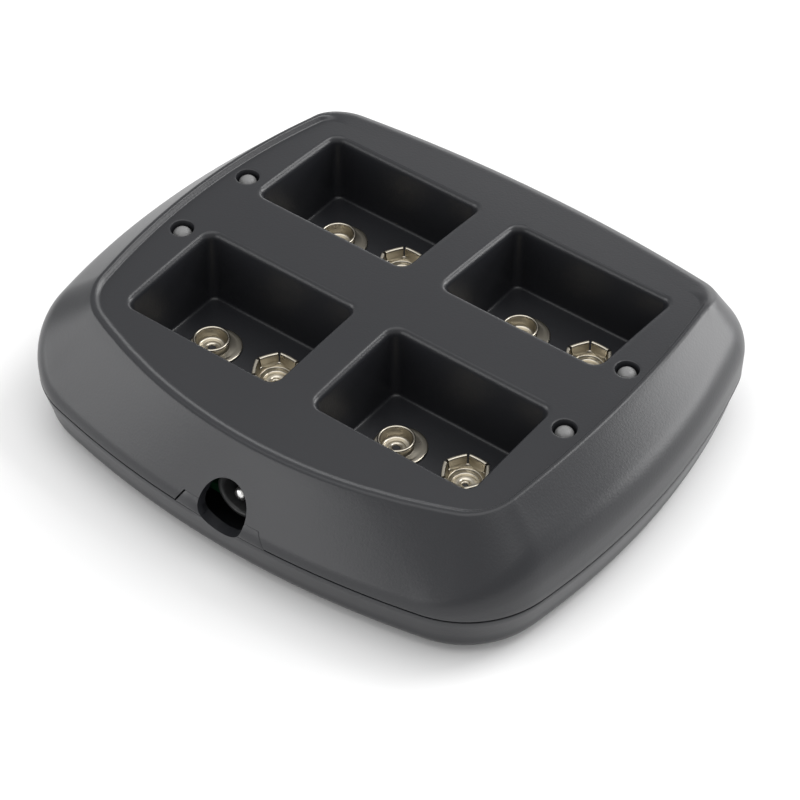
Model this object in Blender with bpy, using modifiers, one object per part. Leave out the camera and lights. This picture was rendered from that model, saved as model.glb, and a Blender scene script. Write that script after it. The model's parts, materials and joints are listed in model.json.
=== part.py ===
"""Four-bay charger for nine-volt batteries: a low pillow-shaped case with a crowned, recessed top panel,
four pockets with snap contacts, status lamps and a barrel socket for a plug-in power supply.

Metres, +Z up. The origin is on the table, under the middle of the case. +X runs along the pockets' long
side, and the power socket is in the -Y wall.
"""

import math
from collections import namedtuple

import bmesh
import bpy
from mathutils import Vector

MM = 0.001
GAP = 0.3 * MM
REACH = 3.0 * MM  # how far a cutter runs past the face that it cuts

# Heights, from the table up and from the panel's highest line down
FOOT_HEIGHT = 1.0 * MM
BASE_BELOW_PANEL = 21.2 * MM
SEAM_BELOW_PANEL = 13.4 * MM
PANEL_CROWN_RADIUS = 299.0 * MM

# Pockets
BETWEEN_POCKETS_X = 7.3 * MM
BETWEEN_POCKETS_Y = 11.7 * MM
POCKET_LENGTH = 28.3 * MM
POCKET_WIDTH = 19.1 * MM
POCKET_DEPTH = 12.9 * MM
POCKET_CORNER = 1.6 * MM
POCKET_DRAFT = 0.22 * MM
RIM_WIDTH = 0.9 * MM
RIM_DROP = 1.35 * MM
RIM_TURN = math.radians(74)
FLOOR_THICKNESS = 1.4 * MM
WELL_WALL = 1.4 * MM
PAD_SHARES = (0.81, 0.56)  # the raised flat that holds the contacts, as shares of the floor's length and width
PAD_RISE = 0.1 * MM

# The case reaches past the pockets' edges by these
END_MARGIN = 16.05 * MM
FRONT_MARGIN = 18.4 * MM
BACK_MARGIN = 13.95 * MM

# Arcs of the widest contour and of the ridge round the panel
WIDEST_ARC = {"end": 123.0 * MM, "front": 152.0 * MM, "back": 281.0 * MM}
WIDEST_CORNER = {"front": 15.8 * MM, "back": 12.7 * MM}
WIDEST_SHIFT = 5.7 * MM  # how far the end arcs' middle lies in front of the pockets' middle
RIDGE_ARC = {"end": 155.0 * MM, "front": 88.0 * MM, "back": 235.0 * MM}
RIDGE_CORNER = {"front": 8.3 * MM, "back": 5.4 * MM}
RIDGE_SHIFT = 2.2 * MM

# Walls
WALL = 1.8 * MM
SEAM_GAP = GAP
LIP_WALL = 0.75 * MM
LIP_HEIGHT = 1.1 * MM

# Section of the case, each for the ends (+X and -X), the front (-Y) and the back (+Y)
WIDEST_BELOW_PANEL = {"end": 9.75 * MM, "front": 13.1 * MM, "back": 10.9 * MM}
SEAM_INSET = {"end": 0.1 * MM, "front": 0.05 * MM, "back": 0.3 * MM}
FLANK_RADIUS = {"end": 7.5 * MM, "front": 3.5 * MM, "back": 7.5 * MM}
RIDGE_INSET = {"end": 8.2 * MM, "front": 6.95 * MM, "back": 5.75 * MM}
RIDGE_RISE = {"end": 0.65 * MM, "front": 0.33 * MM, "back": 0.02 * MM}
RIDGE_RADIUS = {"end": 0.8 * MM, "front": 0.8 * MM, "back": 3.0 * MM}
BEVEL_WIDTH = {"end": 1.25 * MM, "front": 1.5 * MM, "back": 2.5 * MM}
BASE_INSET = 1.3 * MM
BASE_ROUND = 2.9 * MM

# Contacts: the stud at each pocket's -X end, the socket beyond it
CONTACT_PITCH = 12.7 * MM
STUD_OFFSET = -6.4 * MM
STUD_RADIUS = 2.87 * MM
STUD_HEIGHT = 1.75 * MM
STUD_FLANGE_RADIUS = 4.4 * MM
SOCKET_RADIUS = 4.0 * MM
SOCKET_HEIGHT = 2.7 * MM
PETAL_SLIT = 0.35 * MM
CONTACT_SHEET = 0.4 * MM
RIVET_RADIUS = 1.1 * MM
RIVET_BORE = 0.7 * MM
RIVET_HEAD = 1.75 * MM
RIVET_SHEET = 0.3 * MM

# Status lamps, in pairs outside the pockets
LAMP_MARGIN = 3.95 * MM
LAMP_PAST_EDGE = 1.95 * MM  # from the pocket's edge that faces the other row, along the pocket's width
LAMP_RADIUS = 1.45 * MM
LAMP_LENGTH = 5.0 * MM
LAMP_FLANGE = 1.9 * MM
LAMP_HOLE = 1.8 * MM
LAMP_SINK = 0.1 * MM
LEAD_SIDE = 0.5 * MM
LEAD_PITCH = 2.54 * MM
LEAD_TAIL = 0.6 * MM

# Power socket, with its hole half in the housing and half in the cover's tongue
JACK_X = 0.7 * MM
JACK_BELOW_PANEL = 10.9 * MM
JACK_HOLE_RADIUS = 4.25 * MM
JACK_NOSE_RADIUS = 3.9 * MM
JACK_BORE_RADIUS = 3.0 * MM
JACK_BORE_DEPTH = 9.0 * MM
JACK_PIN_RADIUS = 1.05 * MM
JACK_FACE_INSET = 4.55 * MM
JACK_NOSE_LENGTH = 2.2 * MM
JACK_WIDTH = 9.0 * MM
LEAF_WIDTH = 2.0 * MM
LEAF_START = 3.5 * MM
LEAF_SHEET = 0.4 * MM
TONGUE_FOOT = 8.3 * MM
TONGUE_TOP = 6.8 * MM
TONGUE_DEPTH = 6.0 * MM

# Case screws, their bosses and the screws of the board
SCREW_END_INSET = 9.8 * MM
SCREW_SIDE_INSET = 18.1 * MM
SCREW_RADIUS = 1.2 * MM
SCREW_HEAD_RADIUS = 2.2 * MM
SCREW_HEAD_HEIGHT = 1.5 * MM
SCREW_LENGTH = 9.0 * MM
SCREW_SLOT = 0.6 * MM
BOSS_RADIUS = 3.0 * MM
COVER_POST_RADIUS = 3.4 * MM
SCREW_SINK = 3.0 * MM
BOARD_SCREW_LENGTH = 6.0 * MM
BOARD_POST_RADIUS = 2.7 * MM

# Circuit board
BOARD_THICKNESS = 1.6 * MM
BOARD_END_INSET = 7.0 * MM
BOARD_EAR_MARGIN = 4.0 * MM
BOARD_BACK_MARGIN = 2.4 * MM
BOARD_CORNER = 4.0 * MM

# Feet
FOOT_END_INSET = 17.0 * MM
FOOT_SIDE_INSET = 11.1 * MM
FOOT_RADIUS = 4.2 * MM
FOOT_POCKET = 0.6 * MM
FOOT_CHAMFER = 0.4 * MM

# Parts on the board
CAPACITOR_PITCH = 8.0 * MM
CAPACITOR_RADIUS = 3.15 * MM
CAPACITOR_HEIGHT = 7.0 * MM
REGULATOR_X = -11.2 * MM
REGULATOR_SIZE = (6.6 * MM, 2.3 * MM, 6.1 * MM)
CHIP_SIZE = (5.0 * MM, 6.2 * MM, 1.5 * MM)
TRANSISTOR_SIZE = (3.5 * MM, 6.5 * MM, 1.6 * MM)
TRANSISTOR_X = 6.0 * MM
TRANSISTOR_Y = 11.0 * MM
PACKAGE_EDGE = 0.2 * MM

# Smoothness
SIDE_STEPS = 5
CORNER_STEPS = 6
ARC_STEPS = 3
HOLLOW_STEPS = 4
POCKET_STEPS = 2
POCKET_CORNER_STEPS = 3
ROUND_STEPS = 14
SMALL_STEPS = 8
BORE_STEPS = 24
SMOOTH_ANGLE = math.radians(32)

PANEL_TOP = FOOT_HEIGHT + BASE_BELOW_PANEL
SEAM_Z = PANEL_TOP - SEAM_BELOW_PANEL
BASE_Z = FOOT_HEIGHT
POCKET_FLOOR_Z = PANEL_TOP - POCKET_DEPTH
PAD_Z = POCKET_FLOOR_Z + PAD_RISE
FLOOR_UNDER_Z = POCKET_FLOOR_Z - FLOOR_THICKNESS
BOARD_TOP_Z = FLOOR_UNDER_Z - GAP
BOARD_UNDER_Z = BOARD_TOP_Z - BOARD_THICKNESS
COVER_FLOOR_Z = BASE_Z + WALL
JACK_Z = PANEL_TOP - JACK_BELOW_PANEL

POCKET_PITCH_X = POCKET_LENGTH + BETWEEN_POCKETS_X
POCKET_PITCH_Y = POCKET_WIDTH + BETWEEN_POCKETS_Y
POCKETS_HALF_X = (POCKET_PITCH_X + POCKET_LENGTH) / 2
POCKETS_HALF_Y = (POCKET_PITCH_Y + POCKET_WIDTH) / 2
HALF_LENGTH = POCKETS_HALF_X + END_MARGIN
HALF_WIDTH = POCKETS_HALF_Y + (FRONT_MARGIN + BACK_MARGIN) / 2
POCKET_MIDDLE_Y = (FRONT_MARGIN - BACK_MARGIN) / 2
FAR = HALF_LENGTH + HALF_WIDTH

JACK_FACE_Y = JACK_FACE_INSET - HALF_WIDTH
JACK_BODY_FRONT_Y = JACK_FACE_Y + JACK_NOSE_LENGTH
JACK_BODY_BACK_Y = POCKET_MIDDLE_Y - POCKETS_HALF_Y - WELL_WALL - GAP
SCREW_X = HALF_LENGTH - SCREW_END_INSET
SCREW_Y = HALF_WIDTH - SCREW_SIDE_INSET
BOARD_SCREW_X = POCKET_PITCH_X / 2
LAMP_X = POCKETS_HALF_X + LAMP_MARGIN
LAMP_Y = BETWEEN_POCKETS_Y / 2 + LAMP_PAST_EDGE

# One place of the case's outline: its point on the widest contour, the direction outwards there, and how
# far the ridge's matching point lies along the contour and square to it
Station = namedtuple("Station", "point out slide run")
Flank = namedtuple("Flank", "radius widest seam ridge_z ridge_radius lean")


def clear_scene():
    for found in list(bpy.data.objects):
        bpy.data.objects.remove(found, do_unlink=True)


def new_collection(name):
    collection = bpy.data.collections.new(name)
    bpy.context.scene.collection.children.link(collection)
    return collection


def new_material(name, colour, roughness, metallic=0.0):
    material = bpy.data.materials.new(name)
    material.use_nodes = True
    shader = material.node_tree.nodes["Principled BSDF"]
    shader.inputs["Base Color"].default_value = (*colour, 1.0)
    shader.inputs["Roughness"].default_value = roughness
    shader.inputs["Metallic"].default_value = metallic
    return material


clear_scene()
parts = new_collection("nine_volt_charger")
cutters = new_collection("cutters")

case_plastic = new_material("case_plastic", (0.045, 0.046, 0.05), 0.55)
cover_plastic = new_material("cover_plastic", (0.045, 0.046, 0.05), 0.6)
nickel = new_material("nickel", (0.66, 0.61, 0.52), 0.28, 1.0)
tin = new_material("tin", (0.7, 0.69, 0.66), 0.35, 1.0)
screw_steel = new_material("screw_steel", (0.42, 0.42, 0.43), 0.35, 1.0)
foot_rubber = new_material("foot_rubber", (0.02, 0.02, 0.022), 0.85)
lamp_lens = new_material("lamp_lens", (0.33, 0.34, 0.34), 0.3)
board_laminate = new_material("board_laminate", (0.03, 0.16, 0.06), 0.5)
jack_plastic = new_material("jack_plastic", (0.02, 0.02, 0.022), 0.45)
package_epoxy = new_material("package_epoxy", (0.025, 0.025, 0.027), 0.5)
capacitor_sleeve = new_material("capacitor_sleeve", (0.03, 0.04, 0.09), 0.4)


def add_object(name, mesh, collection, material=None, location=(0, 0, 0)):
    made = bpy.data.objects.new(name, mesh)
    made.location = location
    collection.objects.link(made)
    if material:
        made.data.materials.append(material)
    if collection is cutters:
        made.hide_render = True
        made.display_type = "WIRE"
    return made


def finish_smooth(made):
    made.data.shade_smooth()
    made.data.set_sharp_from_angle(angle=SMOOTH_ANGLE)


def mesh_from(build, name):
    """The mesh that build fills in, with its faces turned outwards."""
    shape = bmesh.new()
    build(shape)
    bmesh.ops.remove_doubles(shape, verts=shape.verts, dist=0.00001 * MM)
    bmesh.ops.recalc_face_normals(shape, faces=shape.faces)
    mesh = bpy.data.meshes.new(name)
    shape.to_mesh(mesh)
    shape.free()
    return mesh


def combine(target, tool, operation):
    step = target.modifiers.new(tool.name, "BOOLEAN")
    step.operation = operation
    step.object = tool
    step.solver = "EXACT"


def add_box(shape, low, high):
    """A cube primitive, stretched from one corner to the other."""
    size = Vector(high) - Vector(low)
    middle = (Vector(high) + Vector(low)) / 2
    made = bmesh.ops.create_cube(shape, size=1.0)["verts"]
    bmesh.ops.scale(shape, vec=size, verts=made)
    bmesh.ops.translate(shape, vec=middle, verts=made)


def add_rod(shape, centre, radius, bottom, top, steps=ROUND_STEPS):
    """An upright cylinder primitive."""
    made = bmesh.ops.create_cone(
        shape, cap_ends=True, segments=steps, radius1=radius, radius2=radius, depth=top - bottom
    )["verts"]
    bmesh.ops.translate(shape, vec=(centre[0], centre[1], (bottom + top) / 2), verts=made)


def add_rod_along_y(shape, x, z, radius, near, far, steps=ROUND_STEPS):
    """A level cylinder primitive from y = near to y = far."""
    made = bmesh.ops.create_cone(
        shape, cap_ends=True, segments=steps, radius1=radius, radius2=radius, depth=far - near
    )["verts"]
    turn = Vector((0, 0, 1)).rotation_difference(Vector((0, 1, 0))).to_matrix()
    bmesh.ops.rotate(shape, cent=(0, 0, 0), matrix=turn, verts=made)
    bmesh.ops.translate(shape, vec=(x, (near + far) / 2, z), verts=made)


def turned(name, profile, steps, collection, material=None, location=(0, 0, 0), closed=False):
    """A Screw of a profile of (radius, height) points, listed down its outer side from top to bottom."""
    mesh = bpy.data.meshes.new(name)
    points = [(radius, 0, height) for radius, height in profile]
    edges = [(i, i + 1) for i in range(len(points) - 1)]
    if closed:
        edges.append((len(points) - 1, 0))
    mesh.from_pydata(points, edges, [])
    made = add_object(name, mesh, collection, material, location)
    spin = made.modifiers.new("turn", "SCREW")
    spin.steps = steps
    spin.render_steps = steps
    spin.use_merge_vertices = True
    spin.merge_threshold = 0.001 * MM
    spin.use_smooth_shade = True
    return made


def fixed_mesh(made):
    """Applies the modifiers, so that copies can share the result."""
    graph = bpy.context.evaluated_depsgraph_get()
    mesh = bpy.data.meshes.new_from_object(made.evaluated_get(graph))
    made.modifiers.clear()
    made.data = mesh
    return mesh


def arc(centre, radius, start, end, steps):
    """Points along an arc, each with its outward direction."""
    found = []
    for i in range(steps + 1):
        angle = start + (end - start) * i / steps
        out = Vector((math.cos(angle), math.sin(angle)))
        found.append((Vector(centre) + out * radius, out))
    return found


def quarter_arcs(half_length, reach, end_radius, side_radius, corner_radius):
    """Centres and turning angles of the three arcs that bound a quarter, seen from the end arc's middle."""
    end = Vector((half_length - end_radius, 0))
    side = Vector((0, reach - side_radius))
    from_end, from_side = end_radius - corner_radius, side_radius - corner_radius
    apart = (side - end).length
    along = (from_end**2 - from_side**2 + apart**2) / (2 * apart)
    across = math.sqrt(from_end**2 - along**2)
    towards = (side - end) / apart
    corner = end + towards * along + Vector((towards.y, -towards.x)) * across
    if corner.x < 0:
        corner = end + towards * along - Vector((towards.y, -towards.x)) * across
    end_angle = math.atan2(corner.y - end.y, corner.x - end.x)
    side_angle = math.atan2(corner.y - side.y, corner.x - side.x)
    return ((end, end_radius, end_angle), (corner, corner_radius, side_angle), (side, side_radius, math.pi / 2))


def contour(half_length, reaches, arcs, corners, middle_y):
    """The quarters of a contour of eight arcs: the one behind middle_y, and the one in front of it."""
    return {
        side: (sign, middle_y, quarter_arcs(half_length, sign * (reaches[side] - middle_y), arcs["end"],
                                            arcs[side], corners[side]))
        for side, sign in (("back", 1), ("front", -1))
    }


def contour_point(quarters, angle):
    """The point of the right half's contour whose outward direction has this angle."""
    sign, middle_y, arcs = quarters["back" if angle >= 0 else "front"]
    turn = abs(angle)
    for centre, radius, last in arcs:
        if turn <= last:
            break
    place = centre + radius * Vector((math.cos(turn), math.sin(turn)))
    return Vector((place.x, middle_y + sign * place.y))


def case_outline():
    """Stations round the case, counter-clockwise from the middle of the front."""
    reaches = {"front": -HALF_WIDTH, "back": HALF_WIDTH}
    widest = contour(HALF_LENGTH, reaches, WIDEST_ARC, WIDEST_CORNER, POCKET_MIDDLE_Y - WIDEST_SHIFT)
    reaches = {"front": RIDGE_INSET["front"] - HALF_WIDTH, "back": HALF_WIDTH - RIDGE_INSET["back"]}
    ridge = contour(HALF_LENGTH - RIDGE_INSET["end"], reaches, RIDGE_ARC, RIDGE_CORNER,
                    POCKET_MIDDLE_Y - RIDGE_SHIFT)
    angles = []
    for side, sign in (("front", -1), ("back", 1)):
        end_angle, corner_angle = (found[2] for found in widest[side][2][:2])
        half = spread(0, end_angle, SIDE_STEPS) + spread(end_angle, corner_angle, CORNER_STEPS)
        half += spread(corner_angle, math.pi / 2, SIDE_STEPS) + [math.pi / 2]
        angles += [-angle for angle in reversed(half)] if sign < 0 else half[1:]
    right = []
    for angle in angles:
        point = contour_point(widest, angle)
        to_ridge = contour_point(ridge, angle) - point
        out = Vector((math.cos(angle), math.sin(angle)))
        if abs(angle) == math.pi / 2:
            point.x, to_ridge.x, out.x = 0, 0, 0
        run = -to_ridge.dot(out)
        right.append(Station(point, out, to_ridge + out * run, run))
    left = [Station(*(Vector((-v.x, v.y)) for v in found[:3]), found.run) for found in right[-2:0:-1]]
    return right + left


def spread(first, last, steps):
    """Even steps from first up to last, without last."""
    return [first + (last - first) * i / steps for i in range(steps)]


def crown_z(y):
    """The panel's height: an arc across the case, highest at the pockets' middle."""
    away = y - POCKET_MIDDLE_Y
    return PANEL_TOP - PANEL_CROWN_RADIUS + math.sqrt(PANEL_CROWN_RADIUS**2 - away**2)


def blended(sizes, out):
    """A size between its end value and its front or back value, by the outward direction."""
    across = sizes["back"] if out.y > 0 else sizes["front"]
    return sizes["end"] * out.x**2 + across * out.y**2


def place_at(station, inset, share):
    """The point this far in from the widest contour, moved along it by a share of the way to the ridge's point."""
    return station.point - station.out * inset + station.slide * share


def flank_of(station):
    """Sizes of the case's side at one station."""
    out = station.out
    radius, ridge_radius = blended(FLANK_RADIUS, out), blended(RIDGE_RADIUS, out)
    widest = PANEL_TOP - blended(WIDEST_BELOW_PANEL, out)
    ridge_z = crown_z(place_at(station, station.run, 1).y) + blended(RIDGE_RISE, out)
    lean = math.pi / 4
    for _ in range(8):
        start = Vector((radius * (1 - math.cos(lean)), widest + radius * math.sin(lean)))
        end = Vector((station.run, ridge_z)) - ridge_radius * Vector((math.cos(lean), 1 - math.sin(lean)))
        lean = math.atan2(end.x - start.x, end.y - start.y)
    return Flank(radius, widest, blended(SEAM_INSET, out), ridge_z, ridge_radius, lean)


def face_at(flank, z):
    """(inset, lean) of the outer face at a height between the seam and the ridge."""
    above = z - flank.widest
    if above <= 0:
        return flank.seam * above / (SEAM_Z - flank.widest), 0.0
    if above < flank.radius * math.sin(flank.lean):
        return flank.radius - math.sqrt(flank.radius**2 - above**2), math.asin(above / flank.radius)
    past = above - flank.radius * math.sin(flank.lean)
    return flank.radius * (1 - math.cos(flank.lean)) + past * math.tan(flank.lean), flank.lean


def outer_section(station):
    """(inset, share, height) from the base up to the panel's edge."""
    flank = flank_of(station)
    section = []
    for i in range(ARC_STEPS):
        angle = math.pi / 2 * i / (ARC_STEPS - 1)
        inset = flank.seam + BASE_INSET + BASE_ROUND * (1 - math.sin(angle))
        section.append((inset, 0, BASE_Z + BASE_ROUND * (1 - math.cos(angle))))
    section.append((flank.seam, 0, SEAM_Z))
    for i in range(ARC_STEPS + 1):
        z = flank.widest + flank.radius * math.sin(flank.lean * i / ARC_STEPS)
        inset = face_at(flank, z)[0]
        section.append((inset, inset / station.run, z))
    for i in range(ARC_STEPS):
        angle = flank.lean + (math.pi / 2 - flank.lean) * i / (ARC_STEPS - 1)
        inset = station.run - flank.ridge_radius * math.cos(angle)
        section.append((inset, inset / station.run, flank.ridge_z - flank.ridge_radius * (1 - math.sin(angle))))
    edge_inset = station.run + blended(BEVEL_WIDTH, station.out)
    section.append((edge_inset, 1, crown_z(place_at(station, edge_inset, 1).y)))
    return section


def inner_section(station):
    """(inset, share, height) of the housing's hollow, from below the seam up to the panel's underside."""
    flank = flank_of(station)
    rebate = flank.seam + WALL - LIP_WALL - GAP
    low = SEAM_Z + LIP_HEIGHT + GAP
    high = flank.ridge_z
    for _ in range(6):
        inset, lean = face_at(flank, high)
        place = place_at(station, inset + WALL / math.cos(lean), inset / station.run)
        high = crown_z(place.y) - WALL
    section = [(rebate, 0, SEAM_Z - REACH), (rebate, 0, low)]
    for i in range(HOLLOW_STEPS + 1):
        z = low + (high - low) * i / HOLLOW_STEPS
        inset, lean = face_at(flank, z)
        section.append((inset + WALL / math.cos(lean), max(0, inset / station.run), z))
    return section


def loft(shape, outline, section_at):
    """Rings round the outline, one for each point of the section, capped with bands across the case."""
    rings = []
    for station in outline:
        column = []
        for inset, share, z in section_at(station):
            place = place_at(station, inset, share)
            column.append(shape.verts.new((place.x, place.y, z)))
        rings.append(column)
    join_rings(shape, rings)
    for level in (0, -1):
        cap_bands(shape, [column[level] for column in rings])


def join_rings(shape, rings):
    """Faces between neighbouring columns of points, all the way round."""
    for i, here in enumerate(rings):
        there = rings[(i + 1) % len(rings)]
        for low in range(len(here) - 1):
            shape.faces.new((here[low], there[low], there[low + 1], here[low + 1]))


def cap_bands(shape, ring):
    """Closes a ring that is the same on both sides of the YZ plane, with one band for each pair of points."""
    for i in range(len(ring) // 2):
        corners = []
        for index in (i, i + 1, -i - 1, -i):
            if ring[index] not in corners:
                corners.append(ring[index])
        shape.faces.new(corners)


def rounded_rectangle(length, width, corner):
    """A rounded rectangle round the origin, counter-clockwise, as (point, outward direction)."""
    found = []
    half_x, half_y = length / 2 - corner, width / 2 - corner
    signs = ((1, 1), (-1, 1), (-1, -1), (1, -1))
    for index, (sx, sy) in enumerate(signs):
        start = index * math.pi / 2
        corner_points = arc((sx * half_x, sy * half_y), corner, start, start + math.pi / 2, POCKET_CORNER_STEPS)
        if found:
            found += between(found[-1], corner_points[0])
        found += corner_points
    found += between(found[-1], found[0])
    return found


def between(start, end):
    """Points along the straight from start to end, without its two ends."""
    return [(start[0].lerp(end[0], i / POCKET_STEPS), start[1]) for i in range(1, POCKET_STEPS)]


def pocket_centres():
    for x in (-POCKET_PITCH_X / 2, POCKET_PITCH_X / 2):
        for y in (-POCKET_PITCH_Y / 2, POCKET_PITCH_Y / 2):
            yield x, POCKET_MIDDLE_Y + y


def pocket_rings(shape, centre, section_at):
    """Columns of points round a pocket, each from the (offset, height) points that section_at gives."""
    rings = []
    for point, out in rounded_rectangle(POCKET_LENGTH, POCKET_WIDTH, POCKET_CORNER):
        column = []
        for offset, z in section_at(centre[1] + point.y + out.y * RIM_WIDTH):
            place = point + out * offset
            column.append(shape.verts.new((centre[0] + place.x, centre[1] + place.y, z)))
        rings.append(column)
    return rings


def window_section(y):
    """(offset, height) of a pocket's opening, from inside the well over the rounded rim, past the panel."""
    rim = crown_z(y)
    section = [(0, PANEL_TOP - WALL - REACH), (0, rim - RIM_DROP)]
    for i in range(1, ARC_STEPS + 1):
        angle = RIM_TURN * i / ARC_STEPS
        section.append((RIM_WIDTH * (1 - math.cos(angle)), rim - RIM_DROP * (1 - math.sin(angle))))
    offset, z = section[-1]
    rise = RIM_DROP * math.cos(RIM_TURN) / (RIM_WIDTH * math.sin(RIM_TURN))
    section.append((offset + GAP, z + GAP * rise))
    section.append((offset + GAP, PANEL_TOP + REACH))
    return section


def add_window(shape, centre):
    rings = pocket_rings(shape, centre, window_section)
    join_rings(shape, rings)
    shape.faces.new([column[0] for column in reversed(rings)])
    shape.faces.new([column[-1] for column in rings])


def well_section(y):
    """(offset, height) of a well: its underside's edge, its top under the panel, and down to its floor."""
    top = crown_z(y) - WALL - GAP
    return [(WELL_WALL, FLOOR_UNDER_Z), (WELL_WALL, top), (0, top), (-POCKET_DRAFT, POCKET_FLOOR_Z)]


def add_well(shape, centre):
    """A pocket's walls and floor, with the pad that holds the contacts and a hole for the rivet of each."""
    rings = pocket_rings(shape, centre, well_section)
    for column in rings:
        edge = column[-1].co
        x = centre[0] + (edge.x - centre[0]) * PAD_SHARES[0]
        y = centre[1] + (edge.y - centre[1]) * PAD_SHARES[1]
        column += [shape.verts.new((x, y, z)) for z in (POCKET_FLOOR_Z, PAD_Z)]
    join_rings(shape, rings)
    holes = []
    for x in (STUD_OFFSET, STUD_OFFSET + CONTACT_PITCH):
        around = arc((centre[0] + x, centre[1]), RIVET_RADIUS + GAP, 0, 2 * math.pi, SMALL_STEPS)[:-1]
        hole = [[shape.verts.new((*point, z)) for z in (FLOOR_UNDER_Z, PAD_Z)] for point, _ in around]
        join_rings(shape, hole)
        holes.append(hole)
    for level in (0, -1):
        fill_round(shape, [[column[level] for column in rings] for rings in (rings, *holes)])


def fill_round(shape, loops):
    """A level face inside the first loop of points and outside the others."""
    edges = []
    for loop in loops:
        for here, there in zip(loop, loop[1:] + loop[:1]):
            edges.append(shape.edges.get((here, there)) or shape.edges.new((here, there)))
    bmesh.ops.triangle_fill(shape, use_beauty=True, edges=edges)


def corners_of(x, y, middle_y=0.0):
    for side in (-1, 1):
        for end in (-1, 1):
            yield side * x, middle_y + end * y


def contact_places():
    """Where each pocket's stud and socket stand."""
    for number, (x, y) in enumerate(pocket_centres(), 1):
        yield number, "stud", (x + STUD_OFFSET, y)
        yield number, "socket", (x + STUD_OFFSET + CONTACT_PITCH, y)


def lamp_places():
    return list(corners_of(LAMP_X, LAMP_Y, POCKET_MIDDLE_Y))


def boss_places():
    return list(corners_of(SCREW_X, SCREW_Y))


def post_places():
    return [(-BOARD_SCREW_X, POCKET_MIDDLE_Y), (BOARD_SCREW_X, POCKET_MIDDLE_Y)]


def foot_places():
    return list(corners_of(HALF_LENGTH - FOOT_END_INSET, HALF_WIDTH - FOOT_SIDE_INSET))


def split_tool(name, level, clearance):
    """All below the seam, with the front tongue standing on it, grown by the clearance."""

    def below(shape):
        add_box(shape, (-FAR, -FAR, -FAR), (FAR, FAR, level))

    def tongue(shape):
        foot = TONGUE_FOOT + clearance
        top = TONGUE_TOP + clearance
        top_z = JACK_Z + clearance
        lean = (foot - top) / (top_z - level)
        root_z = level - REACH
        root = foot + lean * (level - root_z)
        ends = []
        for y in (-FAR, TONGUE_DEPTH - HALF_WIDTH):
            corners = ((-root, root_z), (root, root_z), (top, top_z), (-top, top_z))
            ends.append([shape.verts.new((JACK_X + x, y, z)) for x, z in corners])
        shape.faces.new(ends[0])
        shape.faces.new(reversed(ends[1]))
        join_rings(shape, [[ends[0][i], ends[1][i]] for i in range(4)])

    whole = add_object(name, mesh_from(below, name), cutters)
    raised = add_object(name + "_tongue", mesh_from(tongue, name + "_tongue"), cutters)
    combine(whole, raised, "UNION")
    return whole


def make_case():
    """The top housing and the bottom cover, split from one lofted form."""
    outline = case_outline()
    form = mesh_from(lambda shape: loft(shape, outline, outer_section), "case_form")

    housing = add_object("top_housing", form, parts, case_plastic)
    cover = add_object("bottom_cover", form.copy(), parts)
    cover.data.materials.clear()
    cover.data.materials.append(cover_plastic)

    combine(housing, split_tool("below_housing", SEAM_Z + SEAM_GAP / 2, SEAM_GAP / 2), "DIFFERENCE")
    combine(housing, housing_hollow(outline), "DIFFERENCE")
    combine(housing, add_object("windows", mesh_from(window_cuts, "windows"), cutters), "DIFFERENCE")
    combine(housing, add_object("holes", mesh_from(housing_holes, "holes"), cutters), "DIFFERENCE")

    combine(cover, split_tool("cover_region", SEAM_Z - SEAM_GAP / 2, -SEAM_GAP / 2), "INTERSECT")
    combine(cover, cover_lip(outline), "UNION")
    combine(cover, cover_hollow(outline), "DIFFERENCE")
    combine(cover, add_object("cover_holes", mesh_from(cover_holes, "cover_holes"), cutters), "DIFFERENCE")
    for made in (housing, cover):
        finish_smooth(made)


def housing_hollow(outline):
    hollow = add_object("hollow", mesh_from(lambda s: loft(s, outline, inner_section), "hollow"), cutters)
    columns = add_object("columns", mesh_from(housing_columns, "columns"), cutters)
    combine(hollow, columns, "DIFFERENCE")
    return hollow


def housing_columns(shape):
    """What stands inside the housing: the bosses of the case screws and the posts of the board screws."""
    for place in boss_places():
        add_rod(shape, place, BOSS_RADIUS, SEAM_Z, FAR)
    for place in post_places():
        add_rod(shape, place, BOARD_POST_RADIUS, FLOOR_UNDER_Z, FAR)


def window_cuts(shape):
    for centre in pocket_centres():
        add_window(shape, centre)


def housing_holes(shape):
    for place in lamp_places():
        add_rod(shape, place, LAMP_HOLE, PANEL_TOP - WALL - REACH, PANEL_TOP + REACH)
    pilot = SCREW_RADIUS + GAP
    for place in boss_places():
        add_rod(shape, place, pilot, SEAM_Z - REACH, screw_head_z() + SCREW_LENGTH + GAP, SMALL_STEPS)
    for place in post_places():
        top = board_screw_z() + BOARD_SCREW_LENGTH + GAP
        add_rod(shape, place, pilot, FLOOR_UNDER_Z - REACH, top, SMALL_STEPS)
    add_rod_along_y(shape, JACK_X, JACK_Z, JACK_HOLE_RADIUS, -FAR, JACK_BODY_FRONT_Y, BORE_STEPS)


def make_wells():
    """One well under each opening of the panel."""
    for number, centre in enumerate(pocket_centres(), 1):
        name = f"battery_well_{number}"
        well = add_object(name, mesh_from(lambda s, c=centre: add_well(s, c), name), parts, case_plastic)
        finish_smooth(well)


def screw_head_z():
    """The underside of a case screw's head, on its seat in the cover."""
    return BASE_Z + SCREW_SINK - GAP


def board_screw_z():
    return BOARD_UNDER_Z - GAP


def cover_lip(outline):
    """A plug that stands above the seam, hollowed with the cover to leave its locating lip."""

    def section(station):
        inset = blended(SEAM_INSET, station.out) + WALL - LIP_WALL
        foot = BASE_Z + BASE_ROUND
        return [(inset + BASE_INSET, 0, foot), (inset, 0, (foot + SEAM_Z) / 2), (inset, 0, SEAM_Z + LIP_HEIGHT)]

    return add_object("cover_lip", mesh_from(lambda s: loft(s, outline, section), "cover_lip"), cutters)


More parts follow.
